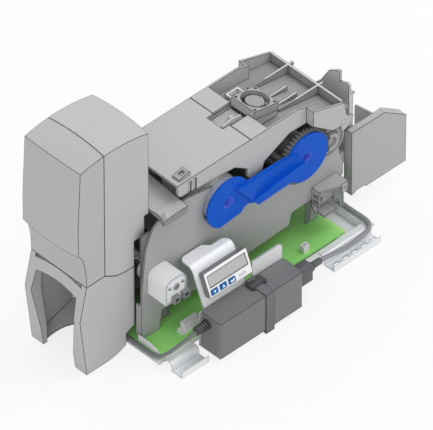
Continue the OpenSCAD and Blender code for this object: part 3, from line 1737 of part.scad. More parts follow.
// Places on the display's face: along its length, up it and out of it
module on_panel() {
  face_y = bracket_front + (panel_z - bend_z) * tan(panel_tilt) - panel_t / cos(panel_tilt);
  translate([panel_x0, face_y, panel_z]) rotate([90 - panel_tilt, 0, 0]) children();
}
module display_housing() {
  color("#ededee") on_panel() difference() {
    translate([0, 0, -panel_t]) linear_extrude(height = panel_t) union() {
      translate([1.5, 0]) square([panel_l - 3, panel_h]);
      translate([0, 1.5]) square([panel_l, panel_h - 3]);
      for (x = [1.5, panel_l - 1.5]) {
        for (y = [1.5, panel_h - 1.5]) translate([x, y]) circle(r = 1.5, $fn = 36);
      }
    }
    box([window_u, window_v, -window_t - 0.4], [window_u + window_l, window_v + window_h, over]);
    for (i = [0:2]) {
      u = button_u + button_pitch * i;
      box(
        [u - button_l / 2 - button_gap, button_v - button_w / 2 - button_gap, -button_pocket],
        [u + button_l / 2 + button_gap, button_v + button_w / 2 + button_gap, over]
      );
    }
  }
}
module display_window() {
  color("#b5b5b5") on_panel() box(
    [window_u + 0.1, window_v + 0.1, -window_t - 0.4],
    [window_u + window_l - 0.1, window_v + window_h - 0.1, -0.4]
  );
}
module panel_button(i) {
  u = button_u + button_pitch * i;
  color("#0a6ab5") on_panel() box(
    [u - button_l / 2, button_v - button_w / 2, button_proud - button_t - 0.6],
    [u + button_l / 2, button_v + button_w / 2, button_proud]
  );
}
module down_button() {
  panel_button(0);
}
module up_button() {
  panel_button(1);
}
module enter_button() {
  panel_button(2);
}

base_pan();
main_board();
board_connectors();
near_side_plate();
far_side_plate();
front_frame();
rear_beam();
front_guide();
card_rails();
chassis_screws();
hopper_shell();
hopper_door();
door_hinge_pin();
hopper_floor();
card_weight();
pick_roller();
output_hopper();
output_tray();
transport_motor();
drive_shaft();
feed_roller();
platen_roller();
transport_roller();
exit_roller();
front_pinch_roller();
middle_pinch_roller();
rear_pinch_roller();
motor_belt();
transport_belt();
ribbon_cartridge();
supply_spool();
takeup_spool();
top_cover();
head_tray();
print_head();
heat_sink();
head_connector();
fan_frame();
fan_rotor();
lid_latch();
hinge_pins();
bearing_cap();
rear_post();
rear_cover();
rear_bracket();
reject_flap();
mains_inlet();
power_supply();
supply_strap();
strap_buckle();
mains_plug();
mains_lead();
strain_relief();
power_lead();
display_bracket();
display_housing();
display_window();
down_button();
up_button();
enter_button();
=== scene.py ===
import math
import bpy
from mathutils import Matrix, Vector


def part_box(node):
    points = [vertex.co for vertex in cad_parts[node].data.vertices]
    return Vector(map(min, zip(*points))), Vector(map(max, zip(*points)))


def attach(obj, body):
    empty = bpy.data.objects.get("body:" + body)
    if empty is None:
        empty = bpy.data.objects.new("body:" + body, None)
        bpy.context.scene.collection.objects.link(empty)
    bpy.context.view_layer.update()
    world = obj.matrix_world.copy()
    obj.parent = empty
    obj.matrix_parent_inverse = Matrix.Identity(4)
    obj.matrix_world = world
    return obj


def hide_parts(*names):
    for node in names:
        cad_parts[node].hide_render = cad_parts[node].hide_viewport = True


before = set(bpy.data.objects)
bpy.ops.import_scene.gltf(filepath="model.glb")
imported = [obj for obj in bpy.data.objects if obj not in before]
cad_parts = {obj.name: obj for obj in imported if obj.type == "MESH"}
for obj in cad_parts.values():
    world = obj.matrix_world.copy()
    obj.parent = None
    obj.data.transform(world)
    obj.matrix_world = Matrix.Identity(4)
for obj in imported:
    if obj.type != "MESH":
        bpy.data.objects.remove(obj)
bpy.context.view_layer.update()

bpy.ops.object.select_all(action="DESELECT")

# Studio
# A pale floor and a soft, even light, as a drawing in a service manual has. The camera looks
# from the near front corner through a very long lens, so that upright edges stay upright.
studio = bpy.context.scene
studio.view_settings.view_transform = "Standard"
photo_width = 433
sensor_width = 36.0
distance = 12.0
middle_depth = 0.0565
lens_right = Vector((0.7218, -0.6921, 0.0))
lens_up = Vector((0.4649, 0.4848, 0.7408))
lens_forward = Vector((0.5127, 0.5347, -0.6717))
aim = lens_right * -0.0194 + lens_up * 0.064
camera_data = bpy.data.cameras.new("service_view")
camera_data.sensor_width = sensor_width
# One pixel of the photo is one millimetre
camera_data.lens = distance * 1000.0 * sensor_width / photo_width
camera_data.clip_end = 60.0
camera = bpy.data.objects.new("service_view", camera_data)
studio.collection.objects.link(camera)
camera.rotation_mode = "QUATERNION"
camera.rotation_quaternion = lens_forward.to_track_quat("-Z", "Y")
camera.location = aim - lens_forward * (distance + middle_depth)
studio.camera = camera


def feed(tree, node, inputs):
    for socket, value in inputs.items():
        if isinstance(value, bpy.types.NodeSocket):
            tree.links.new(value, node.inputs[socket])
        else:
            node.inputs[socket].default_value = value
    return node


def add_node(tree, kind, inputs, operation=None):
    node = tree.nodes.new("ShaderNode" + kind)
    if operation:
        node.operation = operation
    return feed(tree, node, inputs)


white = (1.0, 1.0, 1.0, 1.0)
world = bpy.data.worlds.new("studio")
world.use_nodes = True
studio.world = world
sky = world.node_tree
sky.nodes.clear()
sky_path = add_node(sky, "LightPath", {})
sky_light = add_node(sky, "Background", {"Color": white, "Strength": 0.76})
sky_seen = add_node(sky, "Background", {"Color": white})
sky_mix = add_node(sky, "MixShader", {
    0: sky_path.outputs["Is Camera Ray"], 1: sky_light.outputs[0], 2: sky_seen.outputs[0],
})
add_node(sky, "OutputWorld", {0: sky_mix.outputs[0]})

lamp_aim = Vector((0.0, 0.0, 0.1))
for name, place, size, power in (
    ("key_lamp", (0.9, -0.5, 2.0), 1.4, 14.5),
    ("front_lamp", (-1.8, -1.5, 1.0), 1.6, 10.0),
    ("back_lamp", (0.5, 2.0, 1.3), 1.6, 9.0),
):
    data = bpy.data.lights.new(name, "AREA")
    data.shape = "DISK"
    data.size = size
    data.energy = power
    lamp = bpy.data.objects.new(name, data)
    lamp.location = place
    lamp.rotation_mode = "QUATERNION"
    lamp.rotation_quaternion = (lamp_aim - Vector(place)).to_track_quat("-Z", "Y")
    studio.collection.objects.link(lamp)

bpy.ops.mesh.primitive_plane_add(size=16.0, location=(0.0, 0.0, -0.0002))
floor = bpy.context.object
floor.name = "studio_floor"
floor_mat = bpy.data.materials.new("pale_floor")
floor_mat.use_nodes = True
tree = floor_mat.node_tree
tree.nodes.clear()
floor_path = add_node(tree, "LightPath", {})
floor_seen = add_node(tree, "Math", {
    0: floor_path.outputs["Is Camera Ray"], 1: floor_path.outputs["Is Glossy Ray"],
}, "MAXIMUM")
floor_share = add_node(tree, "Math", {0: floor_seen.outputs[0], 1: 0.8}, "MULTIPLY")
floor_lit = add_node(tree, "BsdfDiffuse", {"Color": (0.85, 0.85, 0.85, 1.0)})
floor_white = add_node(tree, "Emission", {"Color": white})
floor_mix = add_node(tree, "MixShader", {
    0: floor_share.outputs[0], 1: floor_lit.outputs[0], 2: floor_white.outputs[0],
})
add_node(tree, "OutputMaterial", {0: floor_mix.outputs[0]})
floor.data.materials.append(floor_mat)
bpy.ops.object.select_all(action="DESELECT")

# Base pan
# A tray pressed from thin zinc-plated sheet, with an outward rim, posts for the board and two
# rolled rails along its near side. The plating is bright, with a faint rolling grain.


def new_group(name, inputs, outputs):
    group = bpy.data.node_groups.new(name, "ShaderNodeTree")
    for label, kind, value in inputs:
        socket = group.interface.new_socket(name=label, in_out="INPUT", socket_type=kind)
        socket.default_value = value
    for label, kind in outputs:
        group.interface.new_socket(name=label, in_out="OUTPUT", socket_type=kind)
    return group, group.nodes.new("NodeGroupInput"), group.nodes.new("NodeGroupOutput")


def mix_colours(tree, share, first, second):
    mix = tree.nodes.new("ShaderNodeMix")
    mix.data_type = "RGBA"
    feed(tree, mix, {"Factor": share, "A": first, "B": second})
    return mix.outputs["Result"]


# Edge lines: a thin dark line where faces meet, as the shadow in a seam or under a burr
edge_group, edge_in, edge_out = new_group(
    "edge_lines",
    [
        ("Color", "NodeSocketColor", (0.7, 0.7, 0.7, 1.0)),
        ("Line", "NodeSocketColor", (0.1, 0.1, 0.1, 1.0)),
        ("Radius", "NodeSocketFloat", 0.0005),
        ("Strength", "NodeSocketFloat", 0.8),
    ],
    [("Color", "NodeSocketColor")],
)
rounded = add_node(edge_group, "Bevel", {"Radius": edge_in.outputs["Radius"]})
rounded.samples = 8
flat = add_node(edge_group, "NewGeometry", {})
meet = add_node(edge_group, "VectorMath", {
    0: rounded.outputs["Normal"], 1: flat.outputs["Normal"],
}, "DOT_PRODUCT")
away = add_node(edge_group, "Math", {0: 1.0, 1: meet.outputs["Value"]}, "SUBTRACT")
sharp = add_node(edge_group, "MapRange", {
    "From Min": 0.004, "From Max": 0.05, "Value": away.outputs[0],
})
mask = add_node(edge_group, "Math", {
    0: sharp.outputs["Result"], 1: edge_in.outputs["Strength"],
}, "MULTIPLY")
lined = mix_colours(
    edge_group, mask.outputs[0], edge_in.outputs["Color"], edge_in.outputs["Line"]
)
feed(edge_group, edge_out, {"Color": lined})

# Grain: a fine mottle of the colour and of the surface's height, at a size in metres
grain_group, grain_in, grain_out = new_group(
    "fine_grain",
    [
        ("Color", "NodeSocketColor", (0.7, 0.7, 0.7, 1.0)),
        ("Grain Size", "NodeSocketFloat", 0.0006),
        ("Mottle", "NodeSocketFloat", 0.04),
        ("Stretch", "NodeSocketVector", (1.0, 1.0, 1.0)),
    ],
    [("Color", "NodeSocketColor"), ("Height", "NodeSocketFloat"), ("Value", "NodeSocketFloat")],
)
where = add_node(grain_group, "TexCoord", {})
laid = add_node(grain_group, "VectorMath", {
    0: where.outputs["Object"], 1: grain_in.outputs["Stretch"],
}, "MULTIPLY")
pitch = add_node(grain_group, "Math", {0: 1.0, 1: grain_in.outputs["Grain Size"]}, "DIVIDE")
fine = add_node(grain_group, "TexNoise", {
    "Detail": 3.0, "Vector": laid.outputs[0], "Scale": pitch.outputs[0],
})
broad = add_node(grain_group, "TexNoise", {
    "Scale": 22.0, "Detail": 2.0, "Vector": laid.outputs[0],
})
both = add_node(grain_group, "Math", {0: fine.outputs["Fac"], 1: broad.outputs["Fac"]}, "ADD")
centred = add_node(grain_group, "Math", {0: both.outputs[0], 1: 1.0}, "SUBTRACT")
swing = add_node(grain_group, "Math", {
    0: centred.outputs[0], 1: grain_in.outputs["Mottle"],
}, "MULTIPLY")
shade = add_node(grain_group, "Math", {0: swing.outputs[0], 1: 1.0}, "ADD")
tint = add_node(grain_group, "VectorMath", {
    0: grain_in.outputs["Color"], "Scale": shade.outputs[0],
}, "SCALE")
feed(grain_group, grain_out, {
    "Color": tint.outputs[0], "Height": fine.outputs["Fac"], "Value": broad.outputs["Fac"],
})


def linear(code):
    parts = [int(code[i:i + 2], 16) / 255.0 for i in (1, 3, 5)]
    bright = [p / 12.92 if p <= 0.04045 else ((p + 0.055) / 1.055) ** 2.4 for p in parts]
    return (*bright, 1.0)


def finish_of(name, code, rough=0.5, metal=0.0, grain=0.0006, mottle=0.04, bump=0.1,
              stretch=(1.0, 1.0, 1.0), line="#2a2a2a", edge=0.0014, edge_strength=1.0,
              coat=0.0, specular=0.5):
    mat = bpy.data.materials.new(name)
    mat.use_nodes = True
    tree = mat.node_tree
    grained = tree.nodes.new("ShaderNodeGroup")
    grained.node_tree = grain_group
    feed(tree, grained, {
        "Color": linear(code), "Grain Size": grain, "Mottle": mottle, "Stretch": stretch,
    })
    edged = tree.nodes.new("ShaderNodeGroup")
    edged.node_tree = edge_group
    feed(tree, edged, {
        "Line": linear(line), "Radius": edge, "Strength": edge_strength,
        "Color": grained.outputs["Color"],
    })
    relief = add_node(tree, "Bump", {
        "Strength": bump, "Distance": 0.0002, "Height": grained.outputs["Height"],
    })
    gloss = add_node(tree, "MapRange", {
        "To Min": rough - 0.06, "To Max": rough + 0.06, "Value": grained.outputs["Value"],
    })
    feed(tree, tree.nodes["Principled BSDF"], {
        "Metallic": metal, "Coat Weight": coat, "Specular IOR Level": specular,
        "Base Color": edged.outputs["Color"], "Normal": relief.outputs["Normal"],
        "Roughness": gloss.outputs["Result"],
    })
    return mat


def second_colour(mat, code, along, start, by_normal=False, soft=0.0002):
    tree = mat.node_tree
    edged = next(n for n in tree.nodes if n.type == "GROUP" and n.node_tree == edge_group)
    before = edged.inputs["Color"].links[0].from_socket
    if by_normal:
        source = add_node(tree, "NewGeometry", {}).outputs["Normal"]
    else:
        source = add_node(tree, "TexCoord", {}).outputs["Object"]
    reach = add_node(tree, "VectorMath", {0: source, 1: along}, "DOT_PRODUCT")
    step = add_node(tree, "MapRange", {
        "From Min": start, "From Max": start + soft, "Value": reach.outputs["Value"],
    })
    after = mix_colours(tree, step.outputs["Result"], before, linear(code))
    feed(tree, edged, {"Color": after})


def dress(node, mat):
    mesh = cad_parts[node].data
    if not mesh.materials:
        mesh.materials.append(mat)
    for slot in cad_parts[node].material_slots:
        slot.material = mat


to_near = (0.0, -1.0, 0.0)
to_rear = (1.0, 0.0, 0.0)
to_top = (0.0, 0.0, 1.0)
rolled_along_x = (0.12, 1.0, 1.0)
zinc = finish_of("zinc_sheet", "#eceef0", rough=0.42, metal=0.15, grain=0.0008, mottle=0.05,
                 stretch=rolled_along_x, line="#8f9193", edge_strength=0.6)
dress("base_pan", zinc)

# Circuit board
# A glass-fibre board under green solder mask. It stands on the pan's posts under the works. Its
# near edge and a strip at its rear are bare, lighter laminate.
mask_green = finish_of("solder_mask", "#94dd76", rough=0.45, grain=0.0015, mottle=0.05,
                       line="#4d8a3c", edge=0.0006)
bare_near, bare_rear = 0.0385, 0.1165
second_colour(mask_green, "#b4e887", to_near, bare_near)
second_colour(mask_green, "#b4e887", to_rear, bare_rear)
dress("main_board", mask_green)

# Parts on the board
# Moulded black chips with rows of tinned legs, and four metal can capacitors. They are soldered
# to the board between the side plates.
chip_black = finish_of("chip_black", "#333436", rough=0.55, mottle=0.05, line="#151515",
                       edge=0.0004)
leg_tin = finish_of("leg_tin", "#c9cacc", rough=0.3, metal=0.8, mottle=0.03, edge=0.0002,
                    edge_strength=0.3)
can_metal = finish_of("can_metal", "#b9bcc0", rough=0.3, metal=0.6, mottle=0.04,
                      line="#4a4c50", edge=0.0005)
board_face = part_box("main_board")[1][2]
chip_h, chip_mid = 0.0022, 0.0014
leg_w, leg_h, leg_reach, leg_pitch = 0.0008, 0.0012, 0.0013, 0.0020


def block(middle, size):
    bpy.ops.mesh.primitive_cube_add(size=1.0, location=middle)
    bpy.ops.transform.resize(value=size)
    bpy.ops.object.transform_apply(location=True, rotation=True, scale=True)
    return bpy.context.object


def break_edges(offset, segments):
    bpy.ops.object.mode_set(mode="EDIT")
    bpy.ops.mesh.select_all(action="SELECT")
    bpy.ops.mesh.bevel(offset=offset, segments=segments, affect="EDGES")
    bpy.ops.object.mode_set(mode="OBJECT")


for number, (chip_x, chip_y, chip_l, chip_w) in enumerate((
    (-0.096, 0.020, 0.020, 0.020), (-0.050, 0.046, 0.026, 0.011),
    (-0.012, 0.014, 0.014, 0.014), (0.034, 0.050, 0.022, 0.009),
    (0.070, 0.020, 0.016, 0.016), (0.098, 0.052, 0.012, 0.009),
)):
    chip = block((chip_x, chip_y, board_face + chip_mid), (chip_l, chip_w, chip_h))
    chip.name = "board_chip_%d" % number
    break_edges(offset=0.0004, segments=2)
    chip.data.materials.append(chip_black)
    legs = int(chip_l / leg_pitch)
    first_x = chip_x - (legs - 1) * leg_pitch / 2.0
    leg_row = block((first_x, chip_y, board_face + leg_h / 2.0),
                    (leg_w, chip_w + 2.0 * leg_reach, leg_h))
    leg_row.name = "chip_legs_%d" % number
    break_edges(offset=0.0002, segments=1)
    repeat = leg_row.modifiers.new("repeat", "ARRAY")
    repeat.count = legs
    repeat.use_relative_offset = False
    repeat.use_constant_offset = True
    repeat.constant_offset_displace = (leg_pitch, 0.0, 0.0)
    bpy.ops.object.modifier_apply(modifier=repeat.name)
    leg_row.data.materials.append(leg_tin)
    for piece in (chip, leg_row):
        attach(piece, "printer")


def turned(radius, length, middle, axis, vertices):
    quarter = math.radians(90.0)
    rotation = {"X": (0.0, quarter, 0.0), "Y": (quarter, 0.0, 0.0), "Z": (0.0, 0.0, 0.0)}[axis]
    bpy.ops.mesh.primitive_cylinder_add(
        vertices=vertices, radius=radius, depth=length, location=middle, rotation=rotation,
    )
    bpy.ops.object.transform_apply(location=True, rotation=True, scale=True)
    return bpy.context.object


def pick(piece, kind, keep):
    bpy.ops.object.mode_set(mode="EDIT")
    bpy.ops.mesh.select_mode(type=kind)
    bpy.ops.mesh.select_all(action="DESELECT")
    bpy.ops.object.mode_set(mode="OBJECT")
    for element in piece.data.polygons if kind == "FACE" else piece.data.edges:
        element.select = keep(element)
    bpy.ops.object.mode_set(mode="EDIT")


def recess(piece, towards, rim, slope, depth):
    pick(piece, "FACE", lambda face: face.normal.dot(towards) > 0.9)
    bpy.ops.mesh.inset(thickness=rim, depth=0.0)
    bpy.ops.mesh.inset(thickness=slope, depth=-depth)
    bpy.ops.object.mode_set(mode="OBJECT")


for number, (can_x, can_y, can_r, can_h) in enumerate((
    (-0.070, 0.010, 0.0050, 0.0110), (-0.058, 0.012, 0.0050, 0.0110),
    (0.058, 0.030, 0.0040, 0.0090), (0.060, 0.056, 0.0060, 0.0120),
)):
    can = turned(can_r, can_h, (can_x, can_y, board_face + can_h / 2.0), "Z", vertices=40)
    can.name = "board_can_%d" % number
    recess(can, to_top, rim=0.0008, slope=0.0002, depth=0.0004)
    bpy.ops.object.shade_smooth_by_angle(angle=math.radians(35.0))
    can.data.materials.append(can_metal)
    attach(can, "printer")
bpy.ops.object.select_all(action="DESELECT")

# Plugs and sockets on the board
# Small white nylon housings, pushed on by hand, and a thin guard along the front edge.
nylon = finish_of("white_nylon", "#e2e2e2", rough=0.4, mottle=0.03, line="#8a8a8a", edge=0.0004)
dress("board_connectors", nylon)

# Side plates and cross members
# Sheet steel, powder coated grey, with pressed bearing bosses; the far plate and the beam are a
# slightly darker grey. The cross frame behind the tower is painted dark as painted shade, for the
# shadow in the gap there, and the beam ties the plates at the rear.
plate_paint = finish_of("plate_paint", "#a0a0a0", rough=0.5, grain=0.0004, mottle=0.03,
                        line="#4a4a4a")
# Painted shade: the cross frame's dark grey stands in for the shadow in the gap behind the tower.
frame_shade_paint = finish_of("frame_shade_paint", "#707070", rough=0.5, grain=0.0004, mottle=0.04,
                       line="#2c2c2c")
inner_paint = finish_of("inner_paint", "#939393", rough=0.5, grain=0.0004, mottle=0.03,
                        line="#4a4a4a")
dress("near_side_plate", plate_paint)
dress("far_side_plate", inner_paint)
dress("front_frame", frame_shade_paint)
dress("rear_beam", inner_paint)

# Front guide
# A satin moulding that closes the gap between the tower and the works. Its near edge is an
# apron, and a soft swell runs out of the corner beside the tower and fades along the shelf.
guide_plastic = finish_of("guide_plastic", "#8a8a8a", rough=0.4, mottle=0.03)
# Painted highlight and shade: faces looking up are painted a lighter grey, and the sides and apron
# a darker one.
second_colour(guide_plastic, "#ababab", to_top, 0.9, by_normal=True, soft=0.03)
guide_low, guide_high = (Vector(c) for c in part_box("front_guide"))
# All in millimetres: length, run up the slope, thickness, and the apron's and side wall's drop
shelf_l, shelf_run, shelf_t, apron, apron_l, side_l = 33.0, 57.0, 2.5, 9.0, 30.5, 24.0
swell_h, swell_l, swell_y, swell_turn = 2.0, 27.0, 9.5, 0.22
dip_h, dip_l, dip_w = 3.4, 16.0, 8.0
corner_rise, corner_l, side_drop, side_rise = 2.0, 4.0, 6.0, 3.5
shelf_tilt = math.atan2(7.0, shelf_run)
shelf_z = guide_high.z - shelf_run / 1000.0 * math.sin(shelf_tilt)
near_steps = [0.0, 0.4, 0.9, 1.6, shelf_t, shelf_t + 0.1]
fine_from = near_steps[-1]
shelf_xs = near_steps + [fine_from + 27.9 * i / 28 for i in range(1, 29)] + [30.6, 31.8, shelf_l]
shelf_ys = near_steps + [fine_from + (shelf_run - fine_from) * i / 44 for i in range(1, 45)]
bpy.ops.mesh.primitive_grid_add(
    x_subdivisions=len(shelf_xs) - 1, y_subdivisions=len(shelf_ys) - 1, size=1.0,
)
guide = bpy.context.object
guide.name = "scooped_guide"


def raise_sheet(height):
    bpy.ops.mesh.select_all(action="SELECT")
    bpy.ops.mesh.extrude_region_move(TRANSFORM_OT_translate={"value": (0.0, 0.0, height)})
    bpy.ops.mesh.select_all(action="SELECT")
    bpy.ops.mesh.normals_make_consistent(inside=False)
    bpy.ops.object.mode_set(mode="OBJECT")


bpy.ops.object.mode_set(mode="EDIT")
raise_sheet(-1.0)
for v in guide.data.vertices:
    x = shelf_xs[round((v.co.x + 0.5) * (len(shelf_xs) - 1))]
    y = shelf_ys[round((v.co.y + 0.5) * (len(shelf_ys) - 1))]
    fade = max(0.0, 1.0 - x / swell_l)
    off = min(1.0, abs(y - swell_y - swell_turn * x) / (2.0 + 8.0 * fade))
    height = swell_h * fade * math.cos(math.pi / 2.0 * off) ** 2
    height -= dip_h * max(0.0, 1.0 - x / dip_l) ** 2 * max(0.0, 1.0 - y / dip_w) ** 2
    if v.co.z < -0.5:
        if y <= shelf_t or (x > apron_l and y < apron):
            height = -apron + corner_rise * max(0.0, 1.0 - x / corner_l) ** 2
        elif x <= shelf_t and y < side_l:
            height = max(-apron, height - side_drop + side_rise * (y / side_l) ** 2)
        else:
            height -= shelf_t
    v.co = (
        guide_low.x + x / 1000.0,
        guide_low.y + (y * math.cos(shelf_tilt) - height * math.sin(shelf_tilt)) / 1000.0,
        shelf_z + (y * math.sin(shelf_tilt) + height * math.cos(shelf_tilt)) / 1000.0,
    )
bpy.ops.object.shade_smooth_by_angle(angle=math.radians(30.0))
guide.data.materials.append(guide_plastic)
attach(guide, "printer")
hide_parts("front_guide")
bpy.ops.object.select_all(action="DESELECT")

# Rails and screws
# Light grey plastic rails guide the card's edges between the side plates. The screws are zinc
# plated.
rail_plastic = finish_of("rail_plastic", "#bdbdbd", rough=0.4, mottle=0.03)
screw_zinc = finish_of("screw_zinc", "#c8c8c8", rough=0.3, metal=0.8, mottle=0.03, edge=0.0003)
dress("card_rails", rail_plastic)
dress("chassis_screws", screw_zinc)

# Hopper tower
# Shell, door and output hopper are moulded in one light grey plastic with a fine spark-eroded
# grain. The floor, the weight and the tray inside are a lighter copy of that grey: painted light
# that makes up for the shade inside the hopper. The door hangs on a pin of ground steel.
tower_grey = finish_of("tower_grey", "#b6b6b6", rough=0.55, mottle=0.025)
door_grey = finish_of("door_grey", "#b0b0b0", rough=0.55, mottle=0.025)
hopper_lit_grey = finish_of("hopper_lit_grey", "#bcbcbc", rough=0.55, mottle=0.04)
pin_steel = finish_of("pin_steel", "#c0c0c2", rough=0.28, metal=0.9, mottle=0.03, edge=0.0002,
                      edge_strength=0.4)
for node in ("hopper_shell", "output_hopper"):
    dress(node, tower_grey)
dress("hopper_door", door_grey)
for node in ("hopper_floor", "card_weight", "output_tray"):
    dress(node, hopper_lit_grey)
dress("door_hinge_pin", pin_steel)

# Rollers
# Ground rubber on steel shafts for the driven rollers, bare ground steel for the pinch rollers.
# The pick roller turns in lugs under the hopper floor, and the others between the side plates.
roller_rubber = finish_of("roller_rubber", "#3a3a3c", rough=0.75, grain=0.0003, mottle=0.08,
                          bump=0.25, line="#1c1c1c")
for node in ("pick_roller", "feed_roller", "platen_roller", "transport_roller", "exit_roller"):
    dress(node, roller_rubber)
for node in ("front_pinch_roller", "middle_pinch_roller", "rear_pinch_roller", "drive_shaft"):
    dress(node, pin_steel)

# Transport motor
# A drawn zinc-plated can, flat on top, with a stepped hub and two dark sockets on its near end.
# The boss at its back sits in the near plate's hole and lets the shaft through.
motor_zinc = finish_of("motor_zinc", "#eceef0", rough=0.35, metal=0.2, grain=0.0006,
                       mottle=0.04, stretch=(1.0, 0.1, 1.0), line="#8a8c8e")
# What stands out from the end of the can is dark
second_colour(motor_zinc, "#7b7b7c", to_near, 0.0374)
motor_low, motor_high = (Vector(c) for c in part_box("transport_motor"))
motor_x, shaft_z, hub_z, dimple_z = -0.1175, 0.087, 0.0885, 0.0900
can_w, can_top, can_back, can_round = 0.0280, 0.1005, -0.010, 0.0085
end_cap = 0.005
can_front = motor_low.y + end_cap
can_body = block(
    (motor_x, (can_front + can_back) / 2.0, (motor_low.z + can_top) / 2.0),
    (can_w, can_back - can_front, can_top - motor_low.z),
)
can_body.name = "flat_motor"


def pick_long_edges(piece, axis, shortest, above):
    def keep(edge):
        first, second = (piece.data.vertices[i].co for i in edge.vertices)
        return abs(first[axis] - second[axis]) > shortest and first.z > above
    pick(piece, "EDGE", keep)


def join_to(base):
    base.select_set(True)
    bpy.context.view_layer.objects.active = base
    bpy.ops.object.join()


pick_long_edges(can_body, axis=1, shortest=0.01, above=0.09)
bpy.ops.mesh.bevel(offset=can_round, segments=9, affect="EDGES")
bpy.ops.object.mode_set(mode="OBJECT")
recess(can_body, to_near, rim=0.0012, slope=0.0003, depth=0.0007)
boss_front, boss_r, bore_r, bore_l, bore_mid = -0.011, 0.0127, 0.00305, 0.0060, 0.0010
boss = turned(boss_r, motor_high.y - boss_front,
              (motor_x, (motor_high.y + boss_front) / 2.0, shaft_z), "Y", vertices=48)
bore = turned(bore_r, bore_l, (motor_x, motor_high.y - bore_mid, shaft_z), "Y", vertices=48)
shaft_hole = boss.modifiers.new("shaft_hole", "BOOLEAN")
shaft_hole.operation = "DIFFERENCE"
shaft_hole.object = bore
bpy.context.view_layer.objects.active = boss
bpy.ops.object.modifier_apply(modifier=shaft_hole.name)
bpy.ops.object.select_all(action="DESELECT")
bore.select_set(True)
bpy.ops.object.delete()
boss.select_set(True)
join_to(can_body)
dimple_x = 0.009
hub_root = can_front + 0.001
# How far each stands proud, where it is and its radius
for proud, hub_x, at_z, radius in (
    (0.0010, motor_x, hub_z, 0.0036), (0.0022, motor_x, hub_z, 0.0014),
    (0.0006, motor_x - dimple_x, dimple_z, 0.0014), (0.0006, motor_x + dimple_x, dimple_z, 0.0014),
):
    hub_end = can_front - proud
    turned(radius, hub_root - hub_end, (hub_x, (hub_root + hub_end) / 2.0, at_z), "Y",
           vertices=48)
    join_to(can_body)
socket_w, socket_mid_z = 0.0080, 0.0750
for socket_x in (-0.1075, -0.1205):
    socket = block(
        (socket_x, (motor_low.y + can_front) / 2.0, socket_mid_z),
        (socket_w, can_front - motor_low.y, socket_w),
    )
    recess(socket, to_near, rim=0.0014, slope=0.0001, depth=0.0035)
    join_to(can_body)
bpy.ops.object.shade_smooth_by_angle(angle=math.radians(30.0))
can_body.data.materials.append(motor_zinc)
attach(can_body, "printer")
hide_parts("transport_motor")
bpy.ops.object.select_all(action="DESELECT")

# Belts
# Two flat moulded rubber belts run round the pulleys on the far side.
belt_rubber = finish_of("belt_rubber", "#2c2c2e", rough=0.7, mottle=0.06, line="#161616")
dress("motor_belt", belt_rubber)
dress("transport_belt", belt_rubber)

# Ribbon cartridge and spools
# A blue handle moulding carries a white supply roll and a grey take-up gear on its two hubs.
# Painted highlight: the edge lines are a lighter blue than the body, a bright rim along the edges.
cartridge_blue = finish_of("cartridge_blue", "#0754c4", rough=0.5, grain=0.0008, mottle=0.03,
                           bump=0.05, line="#2b6fd8", edge=0.0005, edge_strength=0.5,
                           specular=0.12)
roll_white = finish_of("roll_white", "#fbfbfb", rough=0.4, grain=0.0004, mottle=0.03,
                       line="#9a9a9a")
gear_grey = finish_of("gear_grey", "#777777", rough=0.5, mottle=0.04, line="#2c2c2c",
                      edge=0.0004, edge_strength=0.85)
dress("ribbon_cartridge", cartridge_blue)
dress("supply_spool", roll_white)
dress("takeup_spool", gear_grey)

# Cups in the handle
# Moulded plastic cups pressed into the handle's two holes, in a violet-blue lighter than the
# handle: painted light that brightens the shaded holes.
lit_hole_blue = finish_of("lit_hole_blue", "#5f78e2", rough=0.5, mottle=0.03, line="#4a5fd0",
                       edge=0.0003, edge_strength=0.3)
cup_r, cup_l, cup_y = 0.0064, 0.0086, -0.0134
for name, cup_x, cup_z in (("supply_cup", -0.0272, 0.1315), ("takeup_cup", 0.0816, 0.1243)):
    cup = turned(cup_r, cup_l, (cup_x, cup_y, cup_z), "Y", vertices=64)
    cup.name = name
    recess(cup, to_near, rim=0.0005, slope=0.0002, depth=0.0078)
    bpy.ops.object.shade_smooth_by_angle(angle=math.radians(35.0))
    cup.data.materials.append(lit_hole_blue)
    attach(cup, "cartridge")
bpy.ops.object.select_all(action="DESELECT")

# Lid
# The light grey cover, its ribbed tray, the print head, the heat sink, the fan and the latch
# swing up together about the rear pins.
lid_grey = finish_of("lid_grey", "#b3b3b3", rough=0.55, mottle=0.025)
tray_grey = finish_of("tray_grey", "#989898", rough=0.55, mottle=0.04, line="#4a4a4a")
# The ribs' flat tops catch the light
second_colour(tray_grey, "#c6c6c6", to_top, 0.9985, by_normal=True, soft=0.001)
fan_grey = finish_of("fan_grey", "#a2a2a2", rough=0.5, mottle=0.04)
sink_metal = finish_of("sink_metal", "#c9c9cb", rough=0.35, metal=0.3, mottle=0.04,
                       stretch=(0.1, 1.0, 1.0))
head_metal = finish_of("head_metal", "#808082", rough=0.4, metal=0.5, mottle=0.04)
connector_white = finish_of("connector_white", "#dedede", rough=0.45, mottle=0.03)
for node, mat in (
    ("top_cover", lid_grey), ("head_tray", tray_grey), ("print_head", head_metal),
    ("heat_sink", sink_metal), ("head_connector", connector_white), ("fan_frame", fan_grey),
    ("lid_latch", fan_grey), ("hinge_pins", pin_steel), ("bearing_cap", plate_paint),
):
    dress(node, mat)

